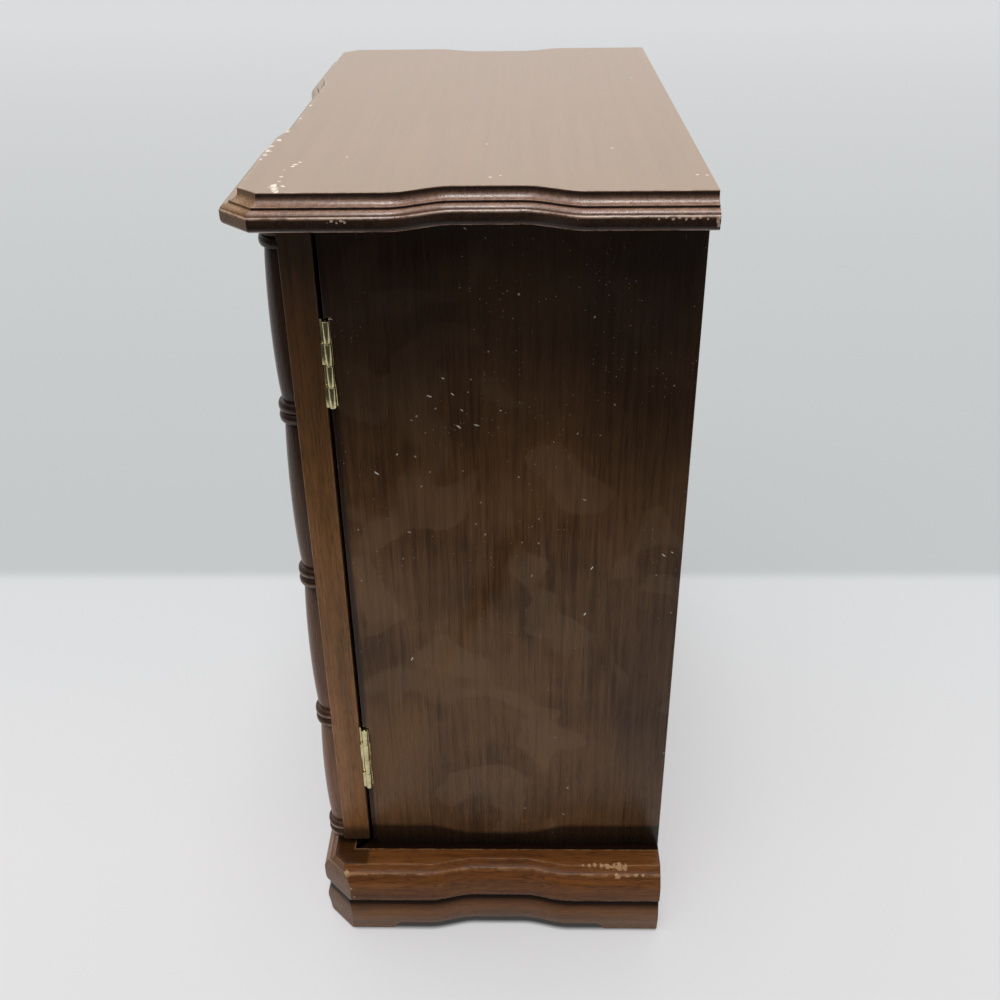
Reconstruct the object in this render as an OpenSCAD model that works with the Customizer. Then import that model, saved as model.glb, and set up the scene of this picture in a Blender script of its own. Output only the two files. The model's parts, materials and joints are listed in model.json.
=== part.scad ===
// Tabletop cabinet with two doors, a moulded serpentine top, a moulded bracket base
// and a split turning on the outer edge of each door. Millimetres, +Z up, front at -Y.
// The origin is the middle of the footprint, on the surface that the cabinet stands on.

/* [Overall] */
// Width over the moulding of the top
overall_w = 310; // [290:1:330]
// Depth over the moulding of the top
overall_d = 177; // [170:1:190]
// Height from the feet to the upper face of the top
overall_h = 380; // [350:1:420]

/* [Top board] */
// Thickness of the top board
top_t = 12.5; // [11:0.5:16]
// How far the moulding stands out from the upper face
top_mould = 7; // [5:0.5:9]
// Leg of the canted front corners of the top
top_cant = 8; // [5:0.5:12]
// Depth of the recess in each side edge of the top
top_side_dip = 8; // [4:0.5:9]
// Depth of the recess in the front edge of the top
top_front_dip = 3.5; // [2:0.5:6]

/* [Base] */
// Height of the base
base_h = 42; // [36:1:50]
// How far the base stands inside the top's moulding at each side
base_inset = 1.5; // [0:0.5:8]
// How far the base front stands behind the front of the top's moulding
base_setback = 6.5; // [4:0.5:9]
// Leg of the canted front corners of the base
base_cant = 9.5; // [6:0.5:12]
// Thickness of the base mouldings, from the widest face inwards
base_t = 32.5; // [30:0.5:36]
// Depth of the recess in the sides and front of the base
base_dip = 4; // [2:0.5:6]
// Height of the cut-outs between the feet
foot_h = 5; // [4.5:0.25:5.5]
// Half the length of the cut-out in each side
foot_side_half = 54; // [46:1:60]
// Half the length of the cut-out in the front
foot_front_half = 104; // [80:1:115]
// Thickness of the plain rail at the back of the base
base_rail_t = 18; // [12:1:24]
// Leg of the glue blocks in the corners of the base
block_leg = 20; // [14:1:26]
// Height of the glue blocks
block_h = 28; // [20:1:34]

/* [Recess shapes] */
// Half the length of the recess in the side edges
side_dip_half = 36; // [30:1:42]
// Half the length of the recess in the front edges
front_dip_half = 68; // [60:1:90]
// Length of each sloping end of a recess
dip_run = 24; // [16:1:28]
// Steps in each sloping end of a recess
dip_steps = 8; // [4:1:12]

/* [Case] */
// How far the side panels stand inside the top's moulding
case_inset = 21; // [17:0.5:28]
// How far the front edges of the case stand behind the front of the top's moulding
case_setback = 32; // [31:0.5:38]
// Thickness of the side panels
side_t = 9; // [8:0.5:11]
// Thickness of the floor and of the inner top
deck_t = 9; // [7:0.5:12]
// Depth of the grooves that hold the floor and the inner top
housing = 3; // [2:0.5:4]
// Thickness of the back panel
back_t = 4; // [3:0.5:6]
// Width of the rabbet that holds the back panel
rabbet_w = 4.5; // [3:0.5:6]
// Radius of the brads in the back panel
brad_r = 0.6; // [0.5:0.1:0.8]
// Radius of their heads
brad_head_r = 1.3; // [1:0.1:1.6]
// Thickness of their heads, which lie flush
brad_head_h = 0.6; // [0.4:0.1:1]
// Length of the brads
brad_l = 13; // [10:1:16]
// Number of brads up each edge of the back panel
brad_rows = 5; // [3:1:8]
// Thickness of the partition
partition_t = 8; // [7.5:0.5:10]
// Depth of the grooves that hold the partition
partition_groove = 2; // [1:0.5:3]

/* [Shelves] */
// Thickness of the shelves
shelf_t = 7; // [5:0.5:9]
// Clearance at each end of a shelf
shelf_gap = 0.3; // [0.2:0.1:1]
// How far the shelves stand behind the front edge of the case
shelf_setback = 6; // [3:1:15]
// Height of the lower left shelf's upper face above the floor
left_low_z = 104; // [90:1:115]
// Height of the upper left shelf's upper face above the floor
left_high_z = 208; // [190:1:225]
// Height of the right shelf's upper face above the floor
right_shelf_z = 72; // [50:1:150]
// Radius of the shelf pins
pin_r = 2.5; // [2:0.25:3]
// How deep a shelf pin goes in
pin_in = 3.5; // [2.5:0.25:3.75]
// How far a shelf pin stands out
pin_out = 7; // [5:0.5:9]
// Distance of the shelf pins from the ends of a shelf's depth
pin_inset = 22; // [12:1:35]
// Thickness of the felt
felt_t = 1.2; // [0.8:0.1:2]
// Bare edge round the felt
felt_margin = 2; // [1:0.5:5]

/* [Pegs] */
// Height of the peg rail
peg_rail_h = 15; // [12:1:22]
// Thickness of the peg rail
peg_rail_t = 8; // [7:0.5:11]
// Distance from the inner top down to the peg rail
peg_rail_drop = 22; // [12:1:60]
// Number of pegs
peg_count = 5; // [3:1:7]
// Radius of a peg
peg_r = 1.8; // [1.4:0.1:2.2]
// Radius of a peg's head
peg_head_r = 3.2; // [2.6:0.1:4]
// How far a peg stands out from its rail
peg_out = 18; // [12:1:26]
// How deep a peg goes into its rail
peg_in = 5; // [3:0.5:6]

/* [Doors] */
// Thickness of the doors
door_t = 13; // [12:0.5:15]
// Gap between the door and the front edge of the case
door_gap = 1.7; // [1.4:0.1:2.2]
// Gap between the two doors
meeting_gap = 2; // [1:0.5:3]
// Gap between the doors and the top board
door_top_gap = 2; // [1.5:0.5:4]
// Gap between the doors and the base
door_base_gap = 3.5; // [2:0.5:5]
// Width of the stile that carries the hinges
outer_stile_w = 26; // [22:1:32]
// Width of the stile that carries the knob
inner_stile_w = 24; // [20:1:30]
// Width of the top and bottom rails
rail_w = 30; // [24:1:40]
// Depth of the groove that holds the panel
groove_d = 6; // [4:0.5:8]
// Width of the groove that holds the panel
groove_w = 4; // [3:0.5:5]
// Distance from the ends of the door to the tongues of its rails
tongue_inset = 6; // [4:0.5:10]
// Clearance of the panel in its groove, each way
panel_gap = 0.4; // [0.2:0.1:1]
// Width of the panel's bevel outside the groove
bevel_w = 13; // [8:1:20]
// How far the panel's field stands behind the face of the frame
field_setback = 1; // [0.5:0.5:2]
// Height of the step round the field
field_step = 1.5; // [0.5:0.25:2]

/* [Split turnings] */
// Radius of the beads
bead_r = 8.3; // [7:0.1:9.5]
// Radius of the shafts at their middle
shaft_r = 7.7; // [6:0.1:8]
// Radius of the shafts at their ends
shaft_end_r = 6.3; // [5:0.1:6.8]
// Height of one bead
bead_h = 4.7; // [4:0.1:5.5]
// Distance from the middle to the second ring of beads
ring_near = 80.5; // [70:0.5:90]
// Distance from the ends of the turning to the middle of the end rings
ring_end = 6; // [5.5:0.5:9]

/* [Knobs] */
// Radius of a knob
knob_r = 7; // [5:0.5:9]
// How far a knob stands out from its door
knob_l = 16; // [12:0.5:17]
// Radius of the flange at the foot of a knob
knob_flange_r = 6; // [5:0.5:7]
// Radius of the machine screw in a knob
knob_screw_r = 1.5; // [1.25:0.25:2]
// How deep the screw goes into a knob
knob_screw_in = 8; // [6:0.5:10]
// Radius of the screw's head
knob_screw_head_r = 2.8; // [2.5:0.1:3.5]
// Height of the screw's head, which lies flush in its counterbore
knob_screw_head_h = 1.8; // [1.2:0.1:2.5]
// Clearance of the screw in the stile
knob_screw_gap = 0.1; // [0.05:0.05:0.3]

/* [Hinges] */
// Height of a hinge
hinge_h = 37; // [30:1:44]
// Distance from the middle of the door to the middle of a hinge
hinge_from_middle = 103.5; // [80:0.5:125]
// Outer radius of the knuckles
knuckle_r = 1.5; // [1.4:0.05:1.7]
// Radius of the hinge pin
hinge_pin_r = 0.8; // [0.6:0.05:0.9]
// Radial clearance of the pin in the knuckles
hinge_pin_gap = 0.05; // [0.02:0.01:0.1]
// Gap between neighbouring knuckles
knuckle_gap = 0.2; // [0.1:0.05:0.4]
// Thickness of the leaves
leaf_t = 0.8; // [0.6:0.05:0.95]
// Width of the leaves, from the axis
leaf_w = 8.8; // [7.5:0.1:9.2]
// Distance from the side panel's face out to the axis
axis_out = 1.3; // [0.8:0.1:1.6]
// Distance from the front edge of the case back to the axis
axis_back = 1; // [0.6:0.1:1.4]
// Running gap between a knuckle and the wood or the other leaf
running_gap = 0.15; // [0.1:0.05:0.3]
// Distance of the screws from the middle of a leaf
hinge_screw_z = 11; // [8:0.5:14]

/* [Screws] */
// Radius of the small brass screws
screw_r = 1; // [0.8:0.1:1.2]
// Radius of their countersunk heads
screw_head_r = 1.9; // [1.6:0.1:2.2]
// Depth of their heads
screw_head_h = 1; // [0.9:0.1:1.3]
// Length of the small screws
screw_l = 8; // [6:0.5:10]
// Radius of the screws that hold the top
top_screw_r = 1.8; // [1.5:0.1:2.2]
// Radius of their countersunk heads
top_screw_head_r = 3.5; // [3:0.1:4]
// Depth of their heads
top_screw_head_h = 2.2; // [1.5:0.1:3]
// Length of the screws that hold the top
top_screw_l = 18; // [14:0.5:20]
// Distance of those screws from the sides and ends of the inner top
top_screw_inset = 24; // [16:1:40]

/* [Catches] */
// Width of a catch's housing
catch_w = 16; // [12:1:18]
// Depth of a catch's housing
catch_d = 14; // [10:1:20]
// Height of a catch's housing
catch_h = 9; // [7:0.5:12]
// Length of each mounting ear
ear_l = 4.5; // [4:0.25:5]
// Thickness of the mounting ears
ear_t = 1.5; // [1:0.1:2]
// How far the pole plates stand out of the housing
pole_out = 1; // [0.6:0.1:1.1]
// Thickness of a pole plate
pole_t = 1.2; // [0.8:0.1:2]
// Thickness of the strike plates
strike_t = 0.8; // [0.5:0.1:0.9]
// Width of the strike plates
strike_w = 13; // [10:1:16]
// Height of the strike plates
strike_h = 12; // [9:1:14]
// Distance of the pole plates from the edges of the housing
pole_inset = 1.5; // [1:0.25:2]
// Distance from the middle of the cabinet to the middle of a catch
catch_x = 17; // [16:0.5:20]

/* [Hidden] */
$fn = 48;
root2 = sqrt(2);

// Planes and heights
back_y = overall_d / 2;
top_half = overall_w / 2 - top_mould;
top_front_y = -overall_d / 2 + top_mould;
base_half = overall_w / 2 - base_inset;
base_front_y = -overall_d / 2 + base_setback;
case_half = overall_w / 2 - case_inset;
case_in = case_half - side_t;
case_front_y = -overall_d / 2 + case_setback;
case_top_z = overall_h - top_t;
floor_z = base_h + deck_t;
ceiling_z = case_top_z - deck_t;
panel_front_y = back_y - back_t;
side_mid_y = (back_y + top_front_y + top_cant) / 2;

door_back_y = case_front_y - door_gap;
door_front_y = door_back_y - door_t;
door_z0 = base_h + door_base_gap;
door_z1 = case_top_z - door_top_gap;
door_mid_z = (door_z0 + door_z1) / 2;
door_h = door_z1 - door_z0;
door_in_x = meeting_gap / 2;
rail_x0 = door_in_x + inner_stile_w;
rail_x1 = case_half - outer_stile_w;

axis_x = case_half + axis_out;
axis_y = case_front_y + axis_back;
door_leaf_y0 = door_back_y;
case_leaf_y1 = axis_y + knuckle_r + running_gap;
hinge_screw_x = (case_in + case_half) / 2;
knuckle_h = hinge_h / 4;

// Moulding of the top: [out from the upper outline, down from the upper face]
cove_foot = [0.43 * top_mould, 0.29 * top_t];
ovolo_start = [0.49 * top_mould, 0.35 * top_t];
ovolo_end = [0.91 * top_mould, 0.55 * top_t];
top_profile = concat(
    [[0, 0]],
    [for (a = [0 : 30 : 90]) [0.06 * top_mould + (cove_foot.x - 0.06 * top_mould) * (1 - cos(a)),
                              0.07 * top_t + (cove_foot.y - 0.07 * top_t) * sin(a)]],
    [for (a = [0 : 30 : 90]) [ovolo_start.x + (ovolo_end.x - ovolo_start.x) * sin(a),
                              ovolo_start.y + (ovolo_end.y - ovolo_start.y) * (1 - cos(a))]],
    [[top_mould, 0.74 * top_t], [0.95 * top_mould, 0.9 * top_t], [0.71 * top_mould, top_t]]);

// Moulding of the base: [out from the widest face, up as a share of the height]
base_profile = [
    [-6.3, 1], [-3, 0.91], [-1, 0.835], [0, 0.745], [0, 0.645], [-0.3, 0.545],
    [-2.4, 0.49], [-2.6, 0.46], [-1, 0.345], [-0.2, 0.26], [-0.9, 0.15], [-1.8, 0]];

// Ordered list without repeats
function sorted(v) = len(v) < 2 ? v :
    let (p = v[floor(len(v) / 2)])
    concat(sorted([for (x = v) if (x < p) x]), [p], sorted([for (x = v) if (x > p) x]));

// Depth of a recess at distance s from its middle: level in the middle, eased at both ends
function dip(s, half, depth) =
    abs(s) >= half ? 0 :
    abs(s) <= half - dip_run ? depth :
    depth * (1 + cos(180 * (abs(s) - half + dip_run) / dip_run)) / 2;

// Distances from the middle where a recess bends
function dip_stops(half) = [for (i = [0 : dip_steps]) half - dip_run * i / dip_steps];
function both_ways(v) = concat(v, [for (x = v) -x]);

// Height of the cut-out between the feet at distance s from its middle
foot_round = 4;
function foot_z(s, half) =
    abs(s) >= half ? 0 :
    foot_h * sin(90 * min(1, (half - abs(s)) / foot_round));
function foot_stops(half) = [half, half - foot_round / 3, half - foot_round];

// Right half of the outline of the top at a distance out from the upper outline, back to front
function top_half_outline(out) = let (
    miter = out * (root2 - 1),
    ys = sorted([for (s = both_ways(dip_stops(side_dip_half))) side_mid_y + s]),
    xs = sorted(dip_stops(front_dip_half)),
    side = [for (i = [len(ys) - 1 : -1 : 0])
        [top_half + out - dip(ys[i] - side_mid_y, side_dip_half, top_side_dip), ys[i]]],
    front = [for (i = [len(xs) - 1 : -1 : 0])
        [xs[i], top_front_y - out + dip(xs[i], front_dip_half, top_front_dip)]])
    concat([[top_half + out, back_y]], side,
        [[top_half + out, top_front_y + top_cant - miter],
         [top_half - top_cant + miter, top_front_y - out]], front);
function reflected(pts) = [for (i = [len(pts) - 1 : -1 : 0]) [-pts[i].x, pts[i].y]];
function top_outline(out) = let (h = top_half_outline(out)) concat(h, reflected(h));

// Solid through rings of equal length, closed by its first and last ring, or by fans round two middles
module lofted(rings, middles = []) {
    n = len(rings[0]);
    m = len(rings);
    last = (m - 1) * n;
    fans = len(middles) > 0;
    polyhedron(
        points = concat([for (r = rings) for (p = r) p], middles),
        faces = concat(
            fans ? [for (i = [0 : n - 1]) [m * n, i, (i + 1) % n]] : [[for (i = [0 : n - 1]) i]],
            [for (j = [0 : m - 2]) for (i = [0 : n - 1]) let (k = (i + 1) % n)
                [j * n + i, (j + 1) * n + i, (j + 1) * n + k]],
            [for (j = [0 : m - 2]) for (i = [0 : n - 1]) let (k = (i + 1) % n)
                [j * n + i, (j + 1) * n + k, j * n + k]],
            fans ? [for (i = [0 : n - 1]) [m * n + 1, last + (i + 1) % n, last + i]]
                 : [[for (i = [n - 1 : -1 : 0]) last + i]]),
        convexity = 6);
}

// Box between two corners
module box(a, b) {
    translate(a) cube(b - a);
}

module on_side(left) {
    mirror([left ? 1 : 0, 0, 0]) children();
}

// Countersunk screw, its head's face at the origin, pointing to -Z
module wood_screw(r, head_r, head_h, length) {
    rotate_extrude()
        polygon([[0, 0], [head_r, 0], [r, -head_h], [r, -length + r], [0, -length]]);
}

module small_screw() {
    wood_screw(screw_r, screw_head_r, screw_head_h, screw_l);
}

// Top and base

module top_board() {
    color("#4a3526")
        lofted([for (p = top_profile) [for (q = top_outline(p.x)) [q.x, q.y, overall_h - p.y]]],
            [[0, 0, overall_h], [0, 0, case_top_z]]);
}

base_in_x = base_half - base_t;
base_in_y = base_front_y + base_t;
base_miter_y = base_front_y + base_cant / 2;
base_miter_x = base_half - base_cant / 2;

// One cross-section of a base moulding: outer points from place(out), then the inner face
function base_ring(outer, inner, foot) = concat(
    [for (i = [0 : len(base_profile) - 1]) let (
        p = outer[i],
        z = i == len(base_profile) - 1 ? foot : base_h * base_profile[i].y)
        [p.x, p.y, z]],
    [[inner.x, inner.y, foot], [inner.x, inner.y, base_h]]);

// Where the profile's points lie at the corners of the cant and at its middle
function side_corner(out) = [base_half + out, base_front_y + base_cant - out * (root2 - 1)];
function front_corner(out) = [base_half - base_cant + out * (root2 - 1), base_front_y - out];
function miter_at(out) = (side_corner(out) + front_corner(out)) / 2;

// The inner face of a moulding is shorter than its outer face, so it is drawn in beyond the cut-out
side_square_y = max(side_mid_y - foot_side_half, base_in_y + 2);
front_square_x = min(foot_front_half, base_in_x - 2);
function side_inner_y(y) = y >= side_square_y ? y :
    side_square_y + (y - side_square_y) * (side_square_y - base_in_y) / (side_square_y - base_miter_y);
function front_inner_x(x) = abs(x) <= front_square_x ? x :
    sign(x) * (front_square_x
        + (abs(x) - front_square_x) * (base_in_x - front_square_x) / (base_miter_x - front_square_x));

module base_side(left) {
    ys = sorted(concat([back_y], [for (s = both_ways(concat(dip_stops(side_dip_half),
        foot_stops(foot_side_half)))) side_mid_y + s]));
    run = [for (i = [len(ys) - 1 : -1 : 0]) ys[i]];
    color("#5a3f2a") on_side(left) lofted(concat(
        [for (y = run) base_ring(
            [for (p = base_profile)
                [base_half + p.x - dip(y - side_mid_y, side_dip_half, base_dip), y]],
            [base_in_x, side_inner_y(y)],
            foot_z(y - side_mid_y, foot_side_half))],
        [base_ring([for (p = base_profile) side_corner(p.x)],
            [base_in_x, side_inner_y(base_front_y + base_cant)], 0),
         base_ring([for (p = base_profile) miter_at(p.x)], [base_in_x, base_in_y], 0)]));
}

module base_front() {
    corner_x = base_half - base_cant;
    xs = sorted(both_ways(concat(dip_stops(front_dip_half), foot_stops(foot_front_half))));
    run = [for (i = [len(xs) - 1 : -1 : 0]) xs[i]];
    flip = [[-1, 0], [0, 1]];
    color("#5a3f2a") lofted(concat(
        [base_ring([for (p = base_profile) miter_at(p.x)], [base_in_x, base_in_y], 0),
         base_ring([for (p = base_profile) front_corner(p.x)],
            [front_inner_x(corner_x), base_in_y], 0)],
        [for (x = run) base_ring(
            [for (p = base_profile)
                [x, base_front_y - p.x + dip(x, front_dip_half, base_dip)]],
            [front_inner_x(x), base_in_y],
            foot_z(x, foot_front_half))],
        [base_ring([for (p = base_profile) flip * front_corner(p.x)],
            [-front_inner_x(corner_x), base_in_y], 0),
         base_ring([for (p = base_profile) flip * miter_at(p.x)], [-base_in_x, base_in_y], 0)]));
}

module base_back_rail() {
    color("#4e3827")
        box([-base_in_x, back_y - base_rail_t, foot_h], [base_in_x, back_y, base_h]);
}

// Triangular block whose square corner is at the origin, towards +X and +Y
module glue_block() {
    translate([0, 0, base_h - block_h])
        linear_extrude(block_h)
            polygon([[0, 0], [block_leg, 0], [0, block_leg]]);
}

module base_corner_blocks() {
    color("#8a6a48") for (left = [false, true]) on_side(left) {
        translate([base_in_x, base_in_y, 0]) mirror([1, 0, 0]) glue_block();
        translate([base_in_x, back_y - base_rail_t, 0])
            mirror([1, 0, 0]) mirror([0, 1, 0]) glue_block();
    }
}

// Case

shelf_x0 = partition_t / 2;
shelf_y0 = case_front_y + shelf_setback;
pin_ys = [shelf_y0 + pin_inset, panel_front_y - pin_inset];

// Heights of the pin holes in each half of the case
left_pin_zs = [for (z = [left_low_z, left_high_z]) floor_z + z - shelf_t - pin_r];
right_pin_zs = [floor_z + right_shelf_z - shelf_t - pin_r];

// Pins along +X through a side panel's face, at the heights zs
module shelf_pin_set(zs) {
    for (y = pin_ys) for (z = zs) {
        translate([case_in - pin_out, y, z]) rotate([0, 90, 0]) cylinder(r = pin_r, h = pin_in + pin_out);
        translate([shelf_x0 - pin_in, y, z]) rotate([0, 90, 0]) cylinder(r = pin_r, h = pin_in + pin_out);
    }
}

// Mortises for the case leaves and the notches for the knuckles beside them
module hinge_cuts() {
    half_h = hinge_h / 2 + running_gap;
    for (upper = [false, true])
        box([axis_x - leaf_w, case_front_y - 1, hinge_z(upper) - half_h],
            [case_half + 1, case_leaf_y1, hinge_z(upper) + half_h]);
}

module side_panel(left) {
    color("#3c2a1e") on_side(left) difference() {
        box([case_in, case_front_y, base_h], [case_half, back_y, case_top_z]);
        box([case_in - 1, panel_front_y, base_h - 1], [case_in + rabbet_w, back_y + 1, case_top_z + 1]);
        box([case_in - 1, case_front_y - 1, base_h - 1], [case_in + housing, panel_front_y + 1, floor_z]);
        box([case_in - 1, case_front_y - 1, ceiling_z],
            [case_in + housing, panel_front_y + 1, case_top_z + 1]);
        hinge_cuts();
        shelf_pin_set(left ? left_pin_zs : right_pin_zs);
    }
}

module back_panel() {
    color("#6d5238") difference() {
        box([-case_in - rabbet_w, panel_front_y, base_h], [case_in + rabbet_w, back_y, case_top_z]);
        back_brads();
    }
}

module brad() {
    rotate([90, 0, 0]) {
        cylinder(r = brad_r, h = brad_l);
        cylinder(r = brad_head_r, h = brad_head_h);
    }
}

// Rows up both side panels and the partition, from the floor's edge to the inner top's edge
module back_brads() {
    low = base_h + deck_t / 2;
    high = case_top_z - deck_t / 2;
    color("#8c8577")
        for (x = [-case_in - rabbet_w / 2, 0, case_in + rabbet_w / 2])
            for (i = [0 : brad_rows - 1])
                translate([x, back_y, low + (high - low) * i / (brad_rows - 1)]) brad();
}

// The floor and the inner top are alike, with the partition's groove on the inner face
module deck(z, groove_z) {
    difference() {
        box([-case_in - housing, case_front_y, z], [case_in + housing, panel_front_y, z + deck_t]);
        box([-partition_t / 2, case_front_y - 1, groove_z],
            [partition_t / 2, panel_front_y + 1, groove_z + partition_groove]);
    }
}

module floor_panel() {
    color("#5f4630") deck(base_h, floor_z - partition_groove);
}

module inner_top() {
    color("#5f4630") deck(ceiling_z, ceiling_z);
}

module partition() {
    color("#5f4630") difference() {
        box([-partition_t / 2, case_front_y, floor_z - partition_groove],
            [partition_t / 2, panel_front_y, ceiling_z + partition_groove]);
        shelf_pin_set(right_pin_zs);
        on_side(true) shelf_pin_set(left_pin_zs);
    }
}

// A shelf whose upper face is z above the floor
module shelf(z, left) {
    color("#6b4f36") on_side(left)
        box([shelf_x0 + shelf_gap, shelf_y0, floor_z + z - shelf_t],
            [case_in - shelf_gap, panel_front_y - shelf_gap, floor_z + z]);
}

module felt(z, left) {
    color("#6e1f2b") on_side(left)
        box([shelf_x0 + shelf_gap + felt_margin, shelf_y0 + felt_margin, floor_z + z],
            [case_in - shelf_gap - felt_margin, panel_front_y - shelf_gap - felt_margin,
             floor_z + z + felt_t]);
}

module shelf_pins() {
    color("#b89a52") {
        shelf_pin_set(right_pin_zs);
        on_side(true) shelf_pin_set(left_pin_zs);
    }
}

// Pegs for necklaces in the right half

peg_rail_z1 = ceiling_z - peg_rail_drop;
peg_rail_y0 = panel_front_y - peg_rail_t;
peg_pitch = (case_in - shelf_x0) / peg_count;

module peg() {
    rotate([90, 0, 0]) rotate_extrude()
        polygon([[0, -peg_in], [peg_r, -peg_in], [peg_r, 0.8 * peg_out], [peg_head_r, 0.86 * peg_out],
            [peg_head_r, 0.94 * peg_out], [0.6 * peg_head_r, peg_out], [0, peg_out]]);
}

module at_pegs() {
    for (i = [0 : peg_count - 1])
        translate([shelf_x0 + peg_pitch * (i + 0.5), peg_rail_y0, peg_rail_z1 - peg_rail_h / 2])
            children();
}

module peg_rail() {
    color("#5a3f2a") difference() {
        box([shelf_x0 + shelf_gap, peg_rail_y0, peg_rail_z1 - peg_rail_h],
            [case_in - shelf_gap, panel_front_y, peg_rail_z1]);
        at_pegs() rotate([-90, 0, 0]) translate([0, 0, -1]) cylinder(r = peg_r, h = peg_in + 1);
    }
}

module necklace_pegs() {
    color("#b89a52") at_pegs() peg();
}

// Doors, drawn on the right side

panel_y1 = door_back_y - (door_t - groove_w) / 2;
panel_y0 = panel_y1 - groove_w;
opening_z0 = door_z0 + rail_w;
opening_z1 = door_z1 - rail_w;

// Space that the panel's edge and the rails' tongues take in the frame
module panel_groove() {
    box([rail_x0 - groove_d, panel_y0, opening_z0 - groove_d],
        [rail_x1 + groove_d, panel_y1, opening_z1 + groove_d]);
}

// Tongue at both ends of the rail between the heights z0 and z1
module rail_tongues(z0, z1) {
    box([rail_x0 - groove_d, panel_y0, z0], [rail_x1 + groove_d, panel_y1, z1]);
}

module door_stile(left, x0, x1) {
    color("#4a3323") on_side(left) difference() {
        box([x0, door_front_y, door_z0], [x1, door_back_y, door_z1]);
        panel_groove();
        rail_tongues(door_z0 + tongue_inset, opening_z0);
        rail_tongues(opening_z1, door_z1 - tongue_inset);
        knob_screw_hole();
    }
}

module outer_stile(left) {
    door_stile(left, rail_x1, case_half);
}

module inner_stile(left) {
    door_stile(left, door_in_x, rail_x0);
}

module door_rail(left, z0, z1, tongue_z0, tongue_z1) {
    color("#4a3323") on_side(left) difference() {
        union() {
            box([rail_x0, door_front_y, z0], [rail_x1, door_back_y, z1]);
            rail_tongues(tongue_z0, tongue_z1);
        }
        panel_groove();
    }
}

module top_rail(left) {
    door_rail(left, opening_z1, door_z1, opening_z1, door_z1 - tongue_inset);
}

module bottom_rail(left) {
    door_rail(left, door_z0, opening_z0, door_z0 + tongue_inset, opening_z0);
}

module door_panel(left) {
    edge = groove_d - panel_gap;
    tongue_t = groove_w - 2 * panel_gap;
    field_y = door_front_y + field_setback;
    color("#54391f") on_side(left) union() {
        box([rail_x0 - edge, panel_y0 + panel_gap, opening_z0 - edge],
            [rail_x1 + edge, panel_y0 + panel_gap + tongue_t, opening_z1 + edge]);
        hull() {
            box([rail_x0 + panel_gap, panel_y0 + panel_gap, opening_z0 + panel_gap],
                [rail_x1 - panel_gap, panel_y1 - panel_gap, opening_z1 - panel_gap]);
            box([rail_x0 + bevel_w, field_y + field_step, opening_z0 + bevel_w],
                [rail_x1 - bevel_w, panel_y1 - panel_gap, opening_z1 - bevel_w]);
        }
        box([rail_x0 + bevel_w, field_y, opening_z0 + bevel_w],
            [rail_x1 - bevel_w, panel_y0 + groove_w / 2, opening_z1 - bevel_w]);
    }
}

// Split turning: rings of two beads with swelling shafts between them
ring_h = 2 * bead_h;
ring_far = door_h / 2 - ring_end;
ring_zs = [-ring_far, -ring_near, 0, ring_near, ring_far];
neck_r = shaft_end_r + 0.45 * (bead_r - shaft_end_r);

function bead(z) = [for (i = [0 : 6]) let (a = 180 * i / 6)
    [neck_r + (bead_r - neck_r) * sin(a), z - bead_h / 2 * cos(a)]];
function ring_points(z) = concat([[shaft_end_r, z - ring_h / 2]], bead(z - bead_h / 2),
    bead(z + bead_h / 2), [[shaft_end_r, z + ring_h / 2]]);
function shaft_points(z0, z1) = [for (i = [1 : 7]) let (t = i / 8)
    [shaft_end_r + (shaft_r - shaft_end_r) * pow(sin(180 * pow(t, 0.9)), 0.7), z0 + (z1 - z0) * t]];

turning_points = concat(
    [[0, -door_h / 2], [neck_r, -door_h / 2]],
    [for (i = [0 : 4]) each concat(ring_points(ring_zs[i]),
        i < 4 ? shaft_points(ring_zs[i] + ring_h / 2, ring_zs[i + 1] - ring_h / 2) : [])],
    [[neck_r, door_h / 2], [0, door_h / 2]]);

module pilaster(left) {
    color("#453022") on_side(left) intersection() {
        translate([case_half - bead_r, door_front_y, door_mid_z]) rotate_extrude() polygon(turning_points);
        box([case_half - 3 * bead_r, door_front_y - 2 * bead_r, door_z0 - 1],
            [case_half + bead_r, door_front_y, door_z1 + 1]);
    }
}

// Knobs

knob_x = door_in_x + inner_stile_w / 2;

module at_knob() {
    translate([knob_x, door_front_y, door_mid_z]) rotate([90, 0, 0]) children();
}

module knob_screw_hole() {
    translate([knob_x, door_front_y - 1, door_mid_z]) rotate([-90, 0, 0])
        cylinder(r = knob_screw_r + knob_screw_gap, h = door_t + 2);
    translate([knob_x, door_back_y - knob_screw_head_h, door_mid_z]) rotate([-90, 0, 0])
        cylinder(r = knob_screw_head_r + knob_screw_gap, h = knob_screw_head_h + 1);
}

module knob(left) {
    neck = 0.5 * knob_r;
    color("#b08f48") on_side(left) at_knob() difference() {
        rotate_extrude() polygon(concat(
            [[0, 0], [knob_flange_r, 0], [knob_flange_r, 0.06 * knob_l], [0.8 * knob_flange_r, 0.11 * knob_l],
             [neck, 0.17 * knob_l], [0.9 * neck, 0.32 * knob_l], [neck, 0.42 * knob_l]],
            [for (a = [-55 : 12.5 : 82.5]) [knob_r * cos(a), knob_l * (0.73 + 0.27 * sin(a))]],
            [[0, knob_l]]));
        translate([0, 0, -1]) cylinder(r = knob_screw_r, h = knob_screw_in + 1);
    }
}

module knob_screw(left) {
    color("#9a9a94") on_side(left) at_knob() {
        translate([0, 0, -door_t]) cylinder(r = knob_screw_r, h = door_t + knob_screw_in);
        translate([0, 0, -door_t]) cylinder(r = knob_screw_head_r, h = knob_screw_head_h);
    }
}

// Hinges: the first and third knuckles from the top belong to the case leaf

function hinge_z(upper) = door_mid_z + (upper ? 1 : -1) * hinge_from_middle;

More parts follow.
